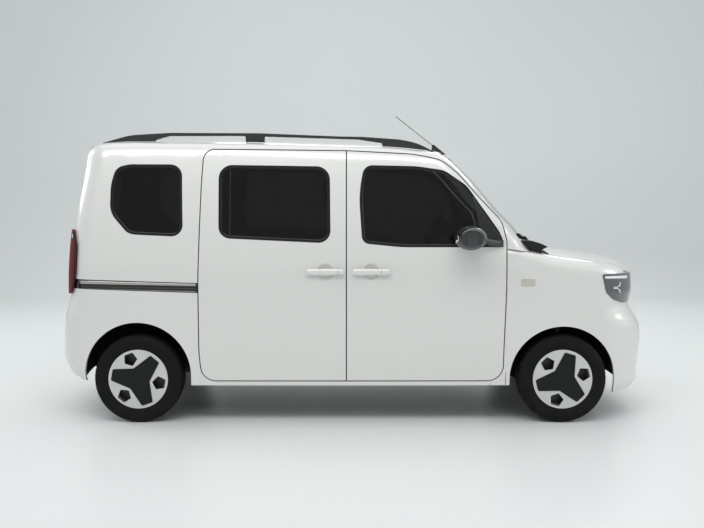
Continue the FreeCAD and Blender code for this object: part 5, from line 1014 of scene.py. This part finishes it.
# %% Front seats
X, Y, Z = 0, 1, 2
DRAWN_FOOT = 0.4076
SEAT_RISE = (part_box("front_seats")[0].z - DRAWN_FOOT) / MM
SEAT_MIDDLE = -0.30975
FRONT = ("front_seats", SEAT_RISE, SEAT_MIDDLE)
seat_up = SEAT_RISE * MM
cushion("seat_cushion", *FRONT, [(-40, 622), (60, 612), (428, 622), (430, 700), (300, 712), (55, 702)],
        [25, 20, 28, 40, 60, 30], 0.212, 0.022,
        [(Y, SEAT_MIDDLE - 0.135), (Y, SEAT_MIDDLE + 0.135), (X, 0.150), (X, 0.290)])
cushion("seat_back", *FRONT, [(-66, 668), (38, 712), (-8, 900), (-92, 1172), (-168, 1172), (-116, 860)],
        [30, 40, 200, 30, 30, 200], 0.208, 0.022,
        [(Y, SEAT_MIDDLE - 0.130), (Y, SEAT_MIDDLE + 0.130), (Z, 0.880 + seat_up), (Z, 1.060 + seat_up)])
cushion("head_rest", *FRONT, [(-113, 1212), (-104, 1350), (-130, 1366), (-178, 1362), (-187, 1214)],
        [22, 22, 20, 22, 26], 0.118, 0.016, rounding=0.035, fill=0.8)

# %% Rear bench
BENCH_RISE = (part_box("rear_bench")[0].z - DRAWN_FOOT) / MM
BENCH_MIDDLE = -0.272
BENCH = ("rear_bench", BENCH_RISE, BENCH_MIDDLE)
lengthwise = [(Y, BENCH_MIDDLE - 0.155), (Y, BENCH_MIDDLE + 0.155)]
cushion("bench_cushion", *BENCH, [(-758, 612), (-440, 606), (-434, 690), (-560, 700), (-776, 690)],
        [20, 30, 36, 60, 25], 0.250, 0.020, lengthwise + [(X, -0.600)])
cushion("bench_back", *BENCH,
        [(-878, 660), (-796, 706), (-840, 900), (-908, 1164), (-990, 1170), (-940, 900)],
        [30, 30, 200, 30, 30, 200], 0.250, 0.020, lengthwise + [(Z, 0.930 + BENCH_RISE * MM)])

# %% Pans and head rest rods
PAN_ROUNDING = 0.012
ROD_RADIUS, ROD_APART = 0.006, 0.055
SEAT_PAN = ([(-28, 408.5), (74, 408.5), (120, 588), (436, 604), (436, 614), (-58, 606)], [4, 4, 60, 6, 4, 6],
            SEAT_RISE)
BENCH_PAN = ([(-760, 408.5), (-552, 408.5), (-440, 592), (-440, 602), (-790, 602)], [4, 20, 30, 4, 20],
             BENCH_RISE)
PANS = {"seat_pan_right": (SEAT_PAN, SEAT_MIDDLE, 0.200, "front_seats"),
        "seat_pan_left": (SEAT_PAN, -SEAT_MIDDLE, 0.200, "front_seats"),
        "bench_pan": (BENCH_PAN, 0.0, 0.520, "rear_bench")}
for name, (drawing, middle, half_width, node) in PANS.items():
    fitted(block(name, *drawing, middle, half_width, PAN_ROUNDING), trim, "body", node)


def tube(name, path, radius, sides=12):
    """Circles of one radius along a path: two axes square to each chord span the circle."""
    path = np.asarray(path, float)
    ahead = np.gradient(path, axis=0)
    ahead /= np.linalg.norm(ahead, axis=1)[:, None]
    helper = np.where(np.abs(ahead[:, 1:2]) < 0.9, [[0.0, 1.0, 0.0]], [[1.0, 0.0, 0.0]])
    first = np.cross(ahead, helper)
    first /= np.linalg.norm(first, axis=1)[:, None]
    second = np.cross(ahead, first)
    angle = round_angles(sides)
    ring = first[:, None] * np.cos(angle)[None, :, None] + second[:, None] * np.sin(angle)[None, :, None]
    return grid_piece(name, path[:, None] + radius * ring, round_columns=True, caps=True)


for hand, side in HANDS:
    for n, apart in enumerate((-ROD_APART, ROD_APART)):
        y = -side * SEAT_MIDDLE + apart
        foot, top = (-0.136, y, 1.165 + seat_up), (-0.146, y, 1.232 + seat_up)
        rod = tube(f"head_rest_rod_{hand}_{n}", np.linspace(foot, top, 6), ROD_RADIUS)
        fitted(rod, mirror_metal, "body", "front_seats")
print("pans", len(PANS), "seat rise", round(SEAT_RISE, 2), "mm")

# %% [markdown]
# ## Coil springs
#
# The rear springs are solid columns in the frame. A coil is one circle carried along a helix:
# its height grows evenly with the angle, and the end turns lie flat against their seats.

# %% Rear coil springs
COIL_TURNS = 6.5
COIL_WIRE = 0.0062
COIL_EASE = 0.001
FLAT_END, CLIMB = 0.09, 0.82
spring_low, spring_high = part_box("rear_springs")
spring_x = 0.5 * (spring_low.x + spring_high.x)
spring_half = 0.5 * (spring_high.x - spring_low.x)
radius = spring_half - COIL_WIRE - COIL_EASE
t = np.linspace(0.0, 1.0, 300)
angle = 2.0 * math.pi * COIL_TURNS * t
climbed = np.clip((t - FLAT_END) / CLIMB, 0.0, 1.0)
height = spring_low.z + COIL_WIRE + (spring_high.z - spring_low.z - 2.0 * COIL_WIRE) * climbed
for hand, side in HANDS:
    axis_y = side * (spring_high.y - spring_half)
    path = np.stack([spring_x + radius * np.cos(angle), axis_y + radius * np.sin(angle), height], axis=-1)
    coil = tube(f"coil_spring_{hand}", path, COIL_WIRE, sides=10)
    fitted(coil, spring_paint, "body", "rear_springs")
print("spring radius", round(radius, 4))

# %% [markdown]
# ## Steering wheel pad
#
# The rim and spokes come from the frame. The driver sees a soft pad over the hub: a disc whose
# height falls off with the fourth power of the radius, turned to the column's slope.

# %% Pad over the hub
HUB = np.array([0.494, 0.30975, 0.990])
COLUMN_SLOPE = math.radians(28.0)
PAD_RADIUS, PAD_LOBES = 0.066, 0.10
PAD_HEIGHT, PAD_FALL, PAD_UNDER = 0.034, 0.026, 0.010
to_driver = np.array([-math.cos(COLUMN_SLOPE), 0.0, math.sin(COLUMN_SLOPE)])
pad_up = np.array([math.sin(COLUMN_SLOPE), 0.0, math.cos(COLUMN_SLOPE)])
ring_share = np.linspace(0.02, 1.0, 16)[:, None]
around = round_angles(64)[None, :]
reach = PAD_RADIUS * (1.0 + PAD_LOBES * np.cos(3.0 * around)) * ring_share
dome = np.broadcast_to(PAD_HEIGHT - PAD_FALL * ring_share ** 4, reach.shape)[..., None]
spoke = np.cos(around)[..., None] * pad_up + np.sin(around)[..., None] * [0.0, 1.0, 0.0]
front = HUB + reach[..., None] * spoke + dome * to_driver
back = front[::-1] - (dome[::-1] + PAD_UNDER) * to_driver
pad = grid_piece("steering_pad", np.concatenate([front, back]), round_columns=True, caps=True)
fitted(pad, dash_plastic, "steering_wheel")
print("pad radius", round(float(reach.max()), 4))
